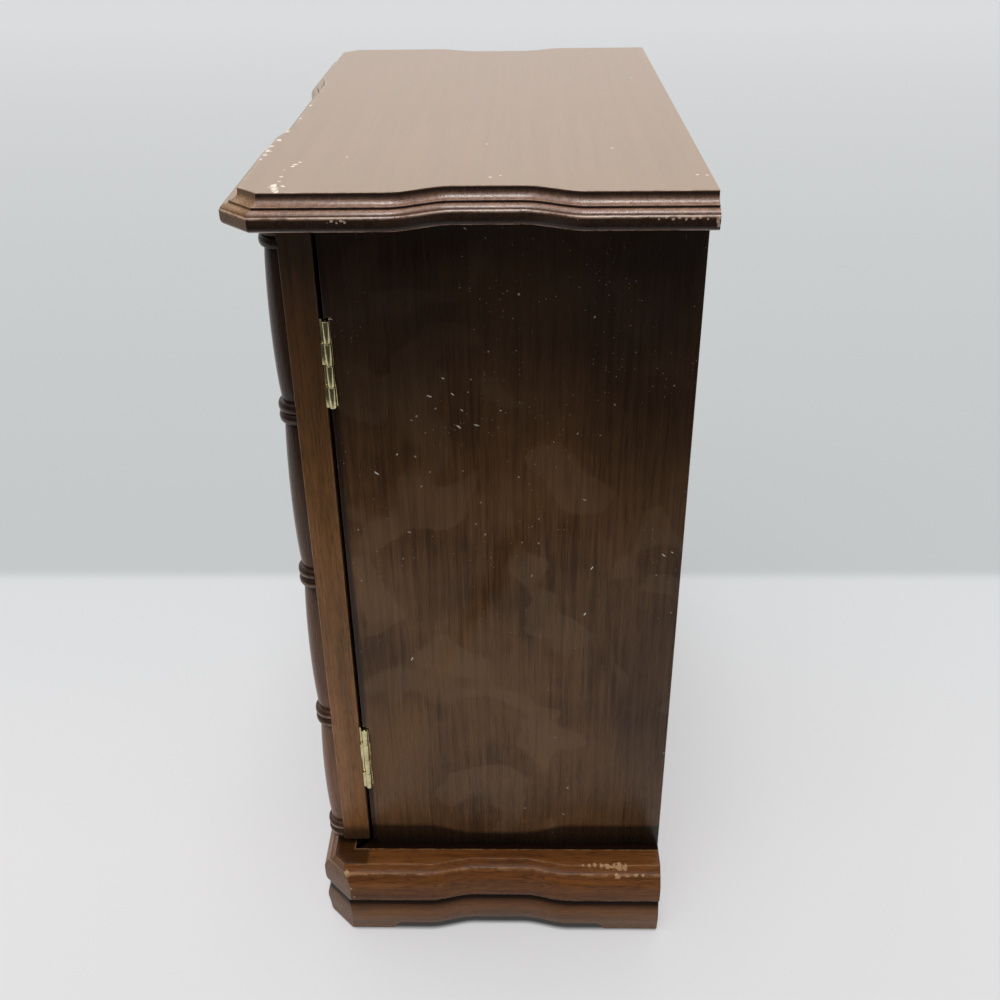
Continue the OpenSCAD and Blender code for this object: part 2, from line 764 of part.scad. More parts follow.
// Heights of the lower ends of a leaf's knuckles, from the lower end of the hinge
function knuckle_zs(on_case) = on_case ? [knuckle_h, 3 * knuckle_h] : [0, 2 * knuckle_h];

module hinge_bore() {
    translate([axis_x, axis_y, -1]) cylinder(r = hinge_pin_r + hinge_pin_gap, h = hinge_h + 2);
}

module at_leaf_screws(upper) {
    for (s = [-1, 1]) translate([hinge_screw_x, 0, hinge_z(upper) + s * hinge_screw_z]) children();
}

module case_leaf_screws(upper) {
    at_leaf_screws(upper) translate([0, case_leaf_y1 - leaf_t, 0]) rotate([90, 0, 0]) small_screw();
}

module door_leaf_screws(upper) {
    at_leaf_screws(upper) translate([0, door_leaf_y0 + leaf_t, 0]) rotate([-90, 0, 0]) small_screw();
}

// A leaf with its plate between y0 and y1, and the roots of its knuckles
module hinge_leaf(on_case, y0, y1) {
    plate_x1 = axis_x - knuckle_r - running_gap;
    root_y0 = on_case ? axis_y + knuckle_r / 2 : y0;
    root_y1 = on_case ? y1 : axis_y - knuckle_r / 2;
    difference() {
        union() {
            box([axis_x - leaf_w, y0, 0], [plate_x1, y1, hinge_h]);
            for (z = knuckle_zs(on_case)) {
                translate([axis_x, axis_y, z + knuckle_gap / 2])
                    cylinder(r = knuckle_r, h = knuckle_h - knuckle_gap);
                box([plate_x1, root_y0, z + knuckle_gap / 2],
                    [axis_x, root_y1, z + knuckle_h - knuckle_gap / 2]);
            }
        }
        hinge_bore();
    }
}

module case_leaf(left, upper) {
    color("#9a8a4c") on_side(left) difference() {
        translate([0, 0, hinge_z(upper) - hinge_h / 2])
            hinge_leaf(true, case_leaf_y1 - leaf_t, case_leaf_y1);
        case_leaf_screws(upper);
    }
}

module door_leaf(left, upper) {
    color("#9a8a4c") on_side(left) difference() {
        translate([0, 0, hinge_z(upper) - hinge_h / 2])
            hinge_leaf(false, door_leaf_y0, door_leaf_y0 + leaf_t);
        door_leaf_screws(upper);
    }
}

module hinge_pin(left, upper) {
    color("#b8ab6a") on_side(left) translate([axis_x, axis_y, hinge_z(upper) - hinge_h / 2])
        cylinder(r = hinge_pin_r, h = hinge_h);
}

// Catches under the inner top, and their strikes on the doors

catch_z0 = ceiling_z - catch_h;
catch_y0 = case_front_y + 0.5;
ear_hole_x = catch_w / 2 + ear_l / 2;
strike_z = catch_z0 + catch_h / 2;

module catch_screws_at() {
    for (s = [-1, 1])
        translate([catch_x + s * ear_hole_x, catch_y0 + catch_d / 2, ceiling_z - ear_t])
            rotate([180, 0, 0]) small_screw();
}

module catch(left) {
    color("#3a2a20") on_side(left) difference() {
        union() {
            box([catch_x - catch_w / 2, catch_y0, catch_z0],
                [catch_x + catch_w / 2, catch_y0 + catch_d, ceiling_z]);
            box([catch_x - catch_w / 2 - ear_l, catch_y0, ceiling_z - ear_t],
                [catch_x + catch_w / 2 + ear_l, catch_y0 + catch_d, ceiling_z]);
            for (z = [catch_z0 + pole_inset, ceiling_z - ear_t - pole_inset - pole_t])
                box([catch_x - catch_w / 2 + pole_inset, catch_y0 - pole_out, z],
                    [catch_x + catch_w / 2 - pole_inset, catch_y0 + 1, z + pole_t]);
        }
        catch_screws_at();
    }
}

module strike_screw() {
    translate([catch_x, door_back_y + strike_t, strike_z]) rotate([-90, 0, 0]) small_screw();
}

module strike(left) {
    color("#a8a8a0") on_side(left) difference() {
        box([catch_x - strike_w / 2, door_back_y, strike_z - strike_h / 2],
            [catch_x + strike_w / 2, door_back_y + strike_t, strike_z + strike_h / 2]);
        strike_screw();
    }
}

// Screws, grouped by what they turn with

module case_screws() {
    color("#b8a45c") for (left = [false, true]) on_side(left) {
        case_leaf_screws(false);
        case_leaf_screws(true);
        catch_screws_at();
    }
}

module door_screws(left) {
    color("#b8a45c") on_side(left) {
        door_leaf_screws(false);
        door_leaf_screws(true);
        strike_screw();
    }
}

module top_screws() {
    color("#8a8a84")
        for (x = [-case_in + top_screw_inset, case_in - top_screw_inset])
            for (y = [case_front_y + top_screw_inset, panel_front_y - top_screw_inset])
                translate([x, y, ceiling_z]) rotate([180, 0, 0])
                    wood_screw(top_screw_r, top_screw_head_r, top_screw_head_h, top_screw_l);
}

top_board();
base_side(true);  // base_side_left
base_side(false);  // base_side_right
base_front();
base_back_rail();
base_corner_blocks();
side_panel(true);  // side_panel_left
side_panel(false);  // side_panel_right
back_panel();
back_brads();
floor_panel();
inner_top();
partition();
shelf(left_low_z, true);  // left_lower_shelf
shelf(left_high_z, true);  // left_upper_shelf
shelf(right_shelf_z, false);  // right_shelf
shelf_pins();
felt(0, true);  // left_floor_felt
felt(left_low_z, true);  // left_lower_felt
felt(left_high_z, true);  // left_upper_felt
felt(0, false);  // right_floor_felt
felt(right_shelf_z, false);  // right_shelf_felt
peg_rail();
necklace_pegs();
outer_stile(true);  // left_outer_stile
inner_stile(true);  // left_inner_stile
top_rail(true);  // left_top_rail
bottom_rail(true);  // left_bottom_rail
door_panel(true);  // left_door_panel
pilaster(true);  // left_pilaster
knob(true);  // left_knob
knob_screw(true);  // left_knob_screw
outer_stile(false);  // right_outer_stile
inner_stile(false);  // right_inner_stile
top_rail(false);  // right_top_rail
bottom_rail(false);  // right_bottom_rail
door_panel(false);  // right_door_panel
pilaster(false);  // right_pilaster
knob(false);  // right_knob
knob_screw(false);  // right_knob_screw
case_leaf(true, true);  // left_upper_case_leaf
door_leaf(true, true);  // left_upper_door_leaf
hinge_pin(true, true);  // left_upper_hinge_pin
case_leaf(true, false);  // left_lower_case_leaf
door_leaf(true, false);  // left_lower_door_leaf
hinge_pin(true, false);  // left_lower_hinge_pin
case_leaf(false, true);  // right_upper_case_leaf
door_leaf(false, true);  // right_upper_door_leaf
hinge_pin(false, true);  // right_upper_hinge_pin
case_leaf(false, false);  // right_lower_case_leaf
door_leaf(false, false);  // right_lower_door_leaf
hinge_pin(false, false);  // right_lower_hinge_pin
catch(true);  // left_catch
catch(false);  // right_catch
strike(true);  // left_strike
strike(false);  // right_strike
case_screws();
door_screws(true);  // left_door_screws
door_screws(false);  // right_door_screws
top_screws();
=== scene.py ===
"""Looks of a tabletop cabinet with two doors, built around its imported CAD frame.

Lengths are in millimetres until MM turns them into metres."""

import json
import math

import bpy
from mathutils import Matrix, Vector


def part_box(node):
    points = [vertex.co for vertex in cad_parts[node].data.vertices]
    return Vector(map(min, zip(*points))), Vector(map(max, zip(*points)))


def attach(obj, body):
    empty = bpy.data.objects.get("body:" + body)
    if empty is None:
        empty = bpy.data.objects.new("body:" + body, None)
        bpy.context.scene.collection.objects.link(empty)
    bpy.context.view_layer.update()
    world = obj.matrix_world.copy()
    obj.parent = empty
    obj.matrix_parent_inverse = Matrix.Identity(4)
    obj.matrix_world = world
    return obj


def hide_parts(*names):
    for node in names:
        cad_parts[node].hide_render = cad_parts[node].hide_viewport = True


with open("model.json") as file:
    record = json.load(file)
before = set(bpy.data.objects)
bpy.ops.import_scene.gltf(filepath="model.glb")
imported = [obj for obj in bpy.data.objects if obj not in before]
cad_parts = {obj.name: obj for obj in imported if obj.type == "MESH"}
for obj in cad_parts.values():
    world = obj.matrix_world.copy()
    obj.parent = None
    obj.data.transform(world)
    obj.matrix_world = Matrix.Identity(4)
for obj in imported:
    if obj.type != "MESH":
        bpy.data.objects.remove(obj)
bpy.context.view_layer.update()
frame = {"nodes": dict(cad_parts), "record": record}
RECORD = frame["record"]
MM = 0.001

BODY_OF = {n: body for body, nodes in RECORD["behaviour"]["bodies"].items() for n in nodes}

# Sizes that the CAD model has too
HEIGHT, BACK_Y = 380.0, 88.5
TOP_HALF, TOP_FRONT, TOP_CANT = 148.0, -81.5, 8.0
TOP_SIDE_DIP, TOP_FRONT_DIP = 8.0, 3.5
BASE_H, BASE_HALF, BASE_FRONT, BASE_CANT, BASE_T = 42.0, 153.5, -82.0, 9.5, 32.5
BASE_DIP, CANT_STEP = 4.0, 5.5
FOOT_H, FOOT_SIDE, FOOT_FRONT, FOOT_ROUND = 5.0, 54.0, 104.0, 4.0
SIDE_MID, SIDE_DIP_HALF, FRONT_DIP_HALF, DIP_RUN = 7.5, 36.0, 68.0, 24.0
DOOR_FRONT, DOOR_BACK, DOOR_MID, DOOR_H, DOOR_T = -71.2, -58.2, 205.5, 320.0, 13.0
CASE_FRONT, CASE_BACK, CEILING = -56.5, 84.5, 358.5
TURNING_X, KNOB_X, CATCH_X = 125.7, 13.0, 17.0
HINGE_X, HINGE_Y, HINGE_H, HINGE_OFF = 135.3, -55.5, 37.0, 103.5
LEAF_W, LEAF_T, KNUCKLE_R, KNUCKLE_GAP, PIN_R, SLACK = 8.8, 0.8, 1.5, 0.1, 0.8, 0.15
BRAD_HEAD_R, STRIKE_Z = 1.3, 354.0
LEAF_SCREW_X, LEAF_SCREW_OFF, CATCH_SCREW_OFF = 129.5, 11.0, 10.25
TOP_SCREW_X, TOP_SCREW_IN = 101.0, 24
FOOT_FACE = BASE_HALF - 2.2
CANT_FOOT = FOOT_FACE - BASE_FRONT - BASE_CANT - CANT_STEP + 1.3


# Working on meshes

def linked(name, data):
    """A new object of this data, in the scene."""
    thing = bpy.data.objects.new(name, data)
    bpy.context.scene.collection.objects.link(thing)
    return thing


def put_down():
    """Object mode, with nothing selected."""
    if bpy.context.mode != "OBJECT":
        bpy.ops.object.mode_set(mode="OBJECT")
    bpy.ops.object.select_all(action="DESELECT")


def pick_up(piece):
    put_down()
    piece.select_set(True)
    bpy.context.view_layer.objects.active = piece


def whole_mesh(piece):
    """Edit mode, with the whole mesh selected."""
    pick_up(piece)
    bpy.ops.object.mode_set(mode="EDIT")
    bpy.ops.mesh.select_all(action="SELECT")


def smooth(piece, angle=32):
    pick_up(piece)
    bpy.ops.object.shade_smooth_by_angle(angle=math.radians(angle))


def apply_modifier(piece, kind, **settings):
    pick_up(piece)
    modifier = piece.modifiers.new(kind.title(), kind)
    for key, value in settings.items():
        setattr(modifier, key, value)
    bpy.ops.object.modifier_apply(modifier=modifier.name)


def lofted(rings, shares=None, patches=None):
    """A grid laid over closed rings of points, its seam merged and both ends filled.

    shares gives each grid point its share of rubbed finish and painted glint ("wear") and of painted
    shade ("pooled").
    patches gives grid cells the number of another finish."""
    around, along = len(rings[0]), len(rings)
    put_down()
    bpy.ops.mesh.primitive_grid_add(x_subdivisions=around, y_subdivisions=along - 1, size=1)
    piece = bpy.context.object
    mesh = piece.data
    points = [p for ring in rings for p in [*ring, ring[0]]]
    mesh.vertices.foreach_set("co", [c * MM for p in points for c in p])
    for key, values in (shares or {}).items():
        mesh.attributes.new(key, "FLOAT", "POINT").data.foreach_set("value", values)
    for cell, number in (patches or {}).items():
        mesh.polygons[cell].material_index = number
    mesh.update()
    whole_mesh(piece)
    bpy.ops.mesh.remove_doubles(threshold=1e-6)
    bpy.ops.mesh.fill_holes(sides=0)
    bpy.ops.mesh.normals_make_consistent(inside=False)
    put_down()
    return piece


def spun(profile, steps):
    """A turned solid about the Z axis, from its radii and heights."""
    return lofted([[(r * math.cos(2 * math.pi * k / steps), r * math.sin(2 * math.pi * k / steps), z)
                    for k in range(steps)] for r, z in profile])


def ring_shares(profile, around):
    """Shares for rings of `around` grid points, from the third and fourth value of each profile row."""
    return {key: [row[i] for row in profile for _ in range(around)]
            for key, i in (("wear", 2), ("pooled", 3))}


def dress(piece, name, finishes, replaced, body=None):
    """Gives a finished piece its name, its materials, and the CAD nodes that it stands for."""
    pick_up(piece)
    bpy.ops.object.transform_apply(location=True, rotation=True, scale=True)
    piece.name = piece.data.name = name
    kept = [p.material_index for p in piece.data.polygons]
    piece.data.materials.clear()
    for finish in finishes:
        piece.data.materials.append(finish)
    piece.data.polygons.foreach_set("material_index", [min(i, len(finishes) - 1) for i in kept])
    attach(piece, body or BODY_OF[replaced[0]])
    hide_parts(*replaced)


# Materials

def linear(code):
    """The shader's linear colour for an sRGB hex code."""
    parts = [int(code[i:i + 2], 16) / 255 for i in (1, 3, 5)]
    return (*[c / 12.92 if c <= 0.04045 else ((c + 0.055) / 1.055) ** 2.4 for c in parts], 1.0)


def add(tree, kind, sockets=None, **settings):
    """Adds a node. kind is its type without the leading ShaderNode.

    A socket is given a value, another node, or a node and the name of its output."""
    node = tree.nodes.new("ShaderNode" + kind)
    for key, value in settings.items():
        setattr(node, key, value)
    for key, value in (sockets or {}).items():
        if isinstance(value, bpy.types.Node):
            value = value.outputs[0]
        elif isinstance(value, tuple) and isinstance(value[0], bpy.types.Node):
            value = value[0].outputs[value[1]]
        if isinstance(value, bpy.types.NodeSocket):
            tree.links.new(value, node.inputs[key])
        else:
            node.inputs[key].default_value = value
    return node


def new_material(name):
    material = bpy.data.materials.new(name)
    material.use_nodes = True
    tree = material.node_tree
    tree.nodes.clear()
    return material, tree, (add(tree, "TexCoord"), "Object")


def close_material(tree, shader):
    add(tree, "OutputMaterial", {"Surface": shader})


MIX_A, MIX_B, MIX_OUT = 6, 7, 2
AXES = "xyz"


def per_metre(along, across, run):
    """Pattern scale with one cell every `across` mm over the grain and every `run` mm along it."""
    return tuple(1000 / (run if axis == along else across) for axis in AXES)


# Lint 1 to 2.5 mm long, lying three ways, and grit of 0.2 to 1.1 mm: cells a metre, turn, share and colour
DUST_LAYERS = (((620, 170, 1), 0.5, 0.012, "#f2ebdd"), ((600, 160, 1), -0.9, 0.012, "#e6decf"),
               ((640, 180, 1), 1.9, 0.01, "#d6ccbc"), ((430, 380, 1), 0.2, 0.04, "#a89c8b"),
               ((800, 900, 1), 0.0, 0.06, "#9a8e7e"))


def lacquered_wood(name, along, pale, deep, amber="#7a4820", bare="#b8977a", gloss=0.3, lustre=0.5,
                   figure=5.0, grain=1.0, mottle=0.7, haze=0.0, dust=None, shades=(), skirt=None, marks=(),
                   pool=1.0, relief=0.06):
    """Close-grained hardwood, wiped with dark stain and sprayed with satin lacquer: soft streaks and amber
    flecks along the grain, short dark pores, and pale wood where edges are rubbed. With no axis along the
    grain it is end grain, in fine dots.

    figure is the width in mm of the broad streaks. grain scales pores and flecks, mottle the clouding, haze
    the smears, pool the painted shade in hollows and undersides, and relief the bump. dust gives a
    plane, a level above which most of it lies, and an amount. shades lists bands of painted shade and of
    painted floor sheen along an axis, and marks the chipped spots. skirt is the height of a painted dark band
    of shade and reflection above the base, and its drop over the base's recess."""
    material, tree, place = new_material(name)

    def noise(scale, detail, rough, shift=0.0, swirl=0.0):
        spread = add(tree, "Mapping", {"Vector": place, "Scale": scale, "Location": (shift,) * 3})
        return add(tree, "TexNoise", {"Vector": spread, "Scale": 1.0, "Detail": detail, "Roughness": rough,
                                      "Distortion": swirl})

    def tinted(base, share, code):
        return add(tree, "Mix", {0: share, MIX_A: (base, MIX_OUT), MIX_B: linear(code)}, data_type="RGBA")

    broad = noise(per_metre(along, figure, 34 * figure), 3, 0.55, swirl=0.5)
    fine = noise(per_metre(along, 0.7, 24), 3, 0.65, shift=3.1)
    vessel = noise(per_metre(along, 0.42, 6), 1, 0.5, shift=7.7)
    fleck = noise(per_metre(along, 1.2, 15), 2, 0.6, shift=2.2)
    cloud = noise((1000 / 55,) * 3, 3, 0.6, shift=1.3)

    pores = add(tree, "MapRange", {"Value": vessel, "From Min": 0.54, "From Max": 0.68})
    tone = add(tree, "Math", {0: broad, 1: fine}, operation="ADD")
    tone = add(tree, "Math", {0: cloud, 1: mottle, 2: tone}, operation="MULTIPLY_ADD")
    tone = add(tree, "MapRange", {"Value": tone, "From Min": 0.73 + 0.5 * mottle,
                                  "From Max": 1.27 + 0.5 * mottle})
    colour = add(tree, "Mix", {0: tone, MIX_A: linear(deep), MIX_B: linear(pale)}, data_type="RGBA")
    glow = add(tree, "MapRange", {"Value": fleck, "From Min": 0.50, "From Max": 0.72,
                                  "To Max": 0.6 * grain})
    colour = tinted(colour, glow, amber)
    soak = add(tree, "Math", {0: pores, 1: 0.6 * grain}, operation="MULTIPLY")
    colour = tinted(colour, soak, "#1c1009")
    if haze:
        # Faint smears of old polish, 20 to 60 mm across, with a fairly crisp edge where the cloth stopped
        patch = noise((1000 / 40,) * 3, 1.5, 0.45, shift=11.9, swirl=0.7)
        smear = add(tree, "MapRange", {"Value": patch, "From Min": 0.55, "From Max": 0.59, "To Max": haze},
                    interpolation_type="SMOOTHSTEP")
        colour = tinted(colour, smear, "#a08262")

    # Painted shade: hollows, undersides and shadowed ledges are darkened, and their reflection is dulled
    # below
    pooled = (add(tree, "Attribute", attribute_name="pooled"), "Fac")
    pooled = add(tree, "Math", {0: pooled, 1: pool}, operation="MULTIPLY")
    colour = tinted(colour, pooled, "#1a0e08")

    # Rubbed edges, and painted glints on some arrises, broken up along their length
    rubbed_and_glint = (add(tree, "Attribute", attribute_name="wear"), "Fac")
    breaks = add(tree, "MapRange", {"Value": noise((1000 / 7,) * 3, 4, 0.7, shift=5.3), "From Min": 0.42,
                                    "From Max": 0.60})
    worn_and_glint = add(tree, "Math", {0: rubbed_and_glint, 1: breaks}, operation="MULTIPLY")
    if marks:
        ragged = noise((1000 / 1.8,) * 3, 4, 0.7, shift=0.7)
    for centre, reach in marks:
        near = add(tree, "VectorMath", {0: place, 1: tuple(c * MM for c in centre)}, operation="DISTANCE")
        near = add(tree, "Math", {0: ragged, 1: 3.2 * reach * MM, 2: (near, "Value")},
                   operation="MULTIPLY_ADD")
        chip = add(tree, "MapRange", {"Value": near, "From Min": 2.35 * reach * MM,
                                      "From Max": 2.15 * reach * MM})
        worn_and_glint = add(tree, "Math", {0: worn_and_glint, 1: chip}, operation="MAXIMUM")
    colour = tinted(colour, worn_and_glint, bare)

    spot = add(tree, "SeparateXYZ", {0: place})
    # Bands of painted shade, deeper towards the top or an edge, and of painted floor sheen low on the base
    for axis, low, high, depth, code in shades:
        tint = add(tree, "MapRange", {"Value": (spot, axis), "From Min": low * MM, "From Max": high * MM,
                                      "To Max": depth}, interpolation_type="SMOOTHSTEP")
        colour = tinted(colour, tint, code)
    # A painted dark band of shade and reflection just above the base's ledge, lower over its recess
    if skirt:
        level, drop = skirt
        away = add(tree, "Math", {0: (spot, "Y"), 1: SIDE_MID * MM}, operation="SUBTRACT")
        away = add(tree, "Math", {0: away}, operation="ABSOLUTE")
        rise = add(tree, "MapRange", {"Value": away, "From Min": SIDE_DIP_HALF * MM,
                                      "From Max": (SIDE_DIP_HALF - DIP_RUN) * MM, "To Max": drop * MM},
                   interpolation_type="SMOOTHSTEP")
        rise = add(tree, "Math", {0: rise, 1: (spot, "Z")}, operation="ADD")
        ledge_band = add(tree, "MapRange", {"Value": rise, "From Min": (level + 1.2) * MM,
                                     "From Max": (level - 2.2) * MM, "To Max": 0.82},
                  interpolation_type="SMOOTHSTEP")
        colour = tinted(colour, ledge_band, "#0d0806")

    if dust:
        # Both kinds of dust lie thicker in some places than in others
        plane, level, amount = dust
        flat = add(tree, "CombineXYZ", {0: (spot, plane[0]), 1: (spot, plane[1])})
        settled = add(tree, "MapRange", {"Value": (spot, plane[1]), "From Min": (level - 30) * MM,
                                         "From Max": (level + 30) * MM, "To Min": 0.15})
        for stretch, turn, share, code in DUST_LAYERS:
            turned = add(tree, "Mapping", {"Vector": flat, "Rotation": (0, 0, turn)})
            spread = add(tree, "Mapping", {"Vector": turned, "Scale": stretch})
            cells = add(tree, "TexVoronoi", {"Vector": spread, "Scale": 1.0}, voronoi_dimensions="2D")
            few = add(tree, "SeparateColor", {0: (cells, "Color")})
            size = add(tree, "MapRange", {"Value": (few, 1), "To Min": 0.08, "To Max": 0.21})
            speck = add(tree, "Math", {0: (cells, "Distance"), 1: size}, operation="LESS_THAN")
            area = add(tree, "MapRange", {"Value": noise((1000 / 45,) * 3, 2, 0.6, shift=turn + 9),
                                          "From Min": 0.47, "From Max": 0.62, "To Max": share * amount})
            area = add(tree, "Math", {0: area, 1: settled}, operation="MULTIPLY")
            some = add(tree, "Math", {0: (few, 0), 1: area}, operation="LESS_THAN")
            speck = add(tree, "Math", {0: speck, 1: some}, operation="MULTIPLY")
            colour = tinted(colour, speck, code)

    rough = add(tree, "Math", {0: pores, 1: 0.12 * grain, 2: gloss}, operation="MULTIPLY_ADD")
    rough = add(tree, "Math", {0: worn_and_glint, 1: 0.25, 2: rough}, operation="MULTIPLY_ADD")
    height = add(tree, "Math", {0: pores, 1: -0.8, 2: fine}, operation="MULTIPLY_ADD")
    bump = add(tree, "Bump", {"Height": height, "Strength": 0.35, "Distance": relief * MM})
    shine = add(tree, "MapRange", {"Value": pooled, "To Min": lustre, "To Max": 0.35 * lustre})
    close_material(tree, add(tree, "BsdfPrincipled", {"Base Color": (colour, MIX_OUT), "Roughness": rough,
                                                      "Normal": bump, "IOR": 1.5,
                                                      "Specular IOR Level": shine}))
    return material


def bare_board(name, along, pale, deep):
    """Unfinished softwood or plywood, greyed with age: dry, matt, with wide dark lines of late growth."""
    material, tree, place = new_material(name)
    wide = add(tree, "Mapping", {"Vector": place, "Scale": per_metre(along, 7, 190)})
    wide = add(tree, "TexNoise", {"Vector": wide, "Scale": 1.0, "Detail": 5, "Roughness": 0.6,
                                  "Distortion": 0.8})
    thin = add(tree, "Mapping", {"Vector": place, "Scale": per_metre(along, 0.6, 26)})
    thin = add(tree, "TexNoise", {"Vector": thin, "Scale": 1.0, "Detail": 3, "Roughness": 0.7})
    tone = add(tree, "Math", {0: thin, 1: 0.5, 2: wide}, operation="MULTIPLY_ADD")
    tone = add(tree, "MapRange", {"Value": tone, "From Min": 0.52, "From Max": 0.98})
    colour = add(tree, "Mix", {0: tone, MIX_A: linear(deep), MIX_B: linear(pale)}, data_type="RGBA")
    bump = add(tree, "Bump", {"Height": thin, "Strength": 0.5, "Distance": 0.12 * MM})
    close_material(tree, add(tree, "BsdfPrincipled", {"Base Color": (colour, MIX_OUT), "Roughness": 0.75,
                                                      "Normal": bump, "IOR": 1.45}))
    return material


def worn_metal(name, bright, dull, rough, spread=0.6):
    """Plated or drawn metal, tarnished in spots: bright where it is touched and duller where it isn't."""
    material, tree, place = new_material(name)
    spots = add(tree, "TexNoise", {"Vector": place, "Scale": 420, "Detail": 5, "Roughness": 0.65})
    spots = add(tree, "MapRange", {"Value": spots, "From Min": 0.5 - spread / 4,
                                   "From Max": 0.5 + spread / 4})
    colour = add(tree, "Mix", {0: spots, MIX_A: linear(dull), MIX_B: linear(bright)}, data_type="RGBA")
    shine = add(tree, "MapRange", {"Value": spots, "From Min": 0.0, "From Max": 1.0, "To Min": rough + 0.16,
                                   "To Max": rough})
    drawn = add(tree, "Mapping", {"Vector": place, "Scale": (4000, 4000, 250)})
    drawn = add(tree, "TexNoise", {"Vector": drawn, "Scale": 1.0, "Detail": 2})
    bump = add(tree, "Bump", {"Height": drawn, "Strength": 0.25, "Distance": 0.02 * MM})
    close_material(tree, add(tree, "BsdfPrincipled", {"Base Color": (colour, MIX_OUT), "Metallic": 1.0,
                                                      "Roughness": shine, "Normal": bump}))
    return material


def wool_felt(name, colour_code, deep_code):
    """Pressed wool felt: no weave, a fine tangle of fibres 0.3 mm apart, matt, with a soft edge light."""
    material, tree, place = new_material(name)
    fibre = add(tree, "TexNoise", {"Vector": place, "Scale": 3200, "Detail": 3, "Roughness": 0.7,
                                   "Distortion": 1.5})
    nap = add(tree, "TexNoise", {"Vector": place, "Scale": 45, "Detail": 3})
    tone = add(tree, "Math", {0: nap, 1: 0.8, 2: fibre}, operation="MULTIPLY_ADD")
    tone = add(tree, "MapRange", {"Value": tone, "From Min": 0.6, "From Max": 1.2})
    colour = add(tree, "Mix", {0: tone, MIX_A: linear(deep_code), MIX_B: linear(colour_code)},
                 data_type="RGBA")
    bump = add(tree, "Bump", {"Height": fibre, "Strength": 0.6, "Distance": 0.2 * MM})
    close_material(tree, add(tree, "BsdfPrincipled", {"Base Color": (colour, MIX_OUT), "Roughness": 0.95,
                                                      "Normal": bump, "IOR": 1.45, "Sheen Weight": 0.5,
                                                      "Sheen Roughness": 0.5,
                                                      "Sheen Tint": linear("#c9747f")}))
    return material


def moulded_plastic(name, code):
    """Injection-moulded styrene with a fine spark-eroded grain of about 0.2 mm."""
    material, tree, place = new_material(name)
    grit = add(tree, "TexNoise", {"Vector": place, "Scale": 5000, "Detail": 1})
    flow = add(tree, "TexNoise", {"Vector": place, "Scale": 90, "Detail": 2})
    dark = tuple(0.7 * c for c in linear(code)[:3]) + (1.0,)
    colour = add(tree, "Mix", {0: flow, MIX_A: dark, MIX_B: linear(code)}, data_type="RGBA")
    bump = add(tree, "Bump", {"Height": grit, "Strength": 0.3, "Distance": 0.04 * MM})
    close_material(tree, add(tree, "BsdfPrincipled", {"Base Color": (colour, MIX_OUT), "Roughness": 0.45,
                                                      "Normal": bump, "IOR": 1.5}))
    return material


# Spots where the finish is chipped through: place and reach
TOP_CHIPS = [((x, y, HEIGHT), reach) for x, y, reach in (
    (147.2, -66.3, 1.3), (145.8, -66.9, 1.5), (144, -67.4, 1.7), (142, -67.9, 1.9), (140, -68.4, 2.0),
    (138, -68.7, 1.6), (139.5, -65.5, 1.2), (133, -67.6, 0.7), (126.5, -68.3, 0.9), (117, -68.8, 0.5),
    (112, -66.2, 1.2), (109, -65.6, 1.3), (106, -65.0, 1.0), (88, -81, 2.4), (94, -81.4, 2.2),
    (100.5, -81.8, 2.0), (80, -80.6, 1.6), (70, -79.6, 1.8), (55, -78.4, 1.5), (30, -78, 1.8),
    (3, -78, 2.2), (-40, -78.6, 1.8), (129, 8.2, 0.9), (127, 12, 0.8), (79.2, 5.8, 0.7),
    (87.3, 55.2, 0.7), (128.3, 86.6, 0.9), (127.6, 83.4, 0.8), (98.4, -47.8, 0.6))]
EDGE_CHIPS = (
    ((154.9, -48, 371.6), 0.7), ((154.9, -46.4, 372), 0.8), ((154.9, -44.8, 371.4), 0.7),
    ((154.9, -43.2, 372), 0.9), ((154.9, -41.8, 371.5), 0.7), ((154.9, 10.1, 372), 0.5),
    ((154.9, 18.7, 371.4), 0.5), ((154.9, 39, 371.8), 0.7), ((155, 64, 372.6), 0.5),
    ((155, 67, 372.1), 0.6), ((155, 69.5, 372.7), 0.7), ((155, 72, 372), 0.7), ((155, 74.2, 372.6), 0.8),
    ((155, 76.5, 371.9), 0.7), ((155, 79, 372.4), 0.9), ((155, 81.5, 372.5), 0.8), ((155, 84, 372), 0.7),
    ((155, 87.8, 372.4), 1.1), ((155, 87.5, 371), 1.0), ((155, 88, 369.6), 0.9),
    ((147.2, -78.5, 371.5), 1.2))
BASE_CHIPS = (
    ((147, 50, 41.8), 0.9), ((147, 53, 41.8), 1.2), ((147, 56, 41.7), 1.3), ((147, 59, 41.6), 1.5),
    ((147.1, 62, 41.5), 1.7), ((147.2, 65, 41.4), 2.0), ((147.4, 68, 41.1), 2.6), ((147.6, 70.5, 41), 2.4),
    ((150.4, 67, 38.2), 1.9), ((150.4, 72, 38.3), 1.2), ((150.4, 76, 38.3), 1.4),
    ((150.4, 79.5, 38.3), 1.1), ((150.2, -68.6, 38.4), 1.9), ((153.2, -66.2, 31.6), 1.2),
    ((149, -69, 39.8), 0.8), ((153.4, -65.4, 25), 0.8))
# Colours of painted shade, and of painted floor sheen on the base's lower faces
SHADE_TONE, FLOOR_SHEEN = "#271d19", "#a58f7c"

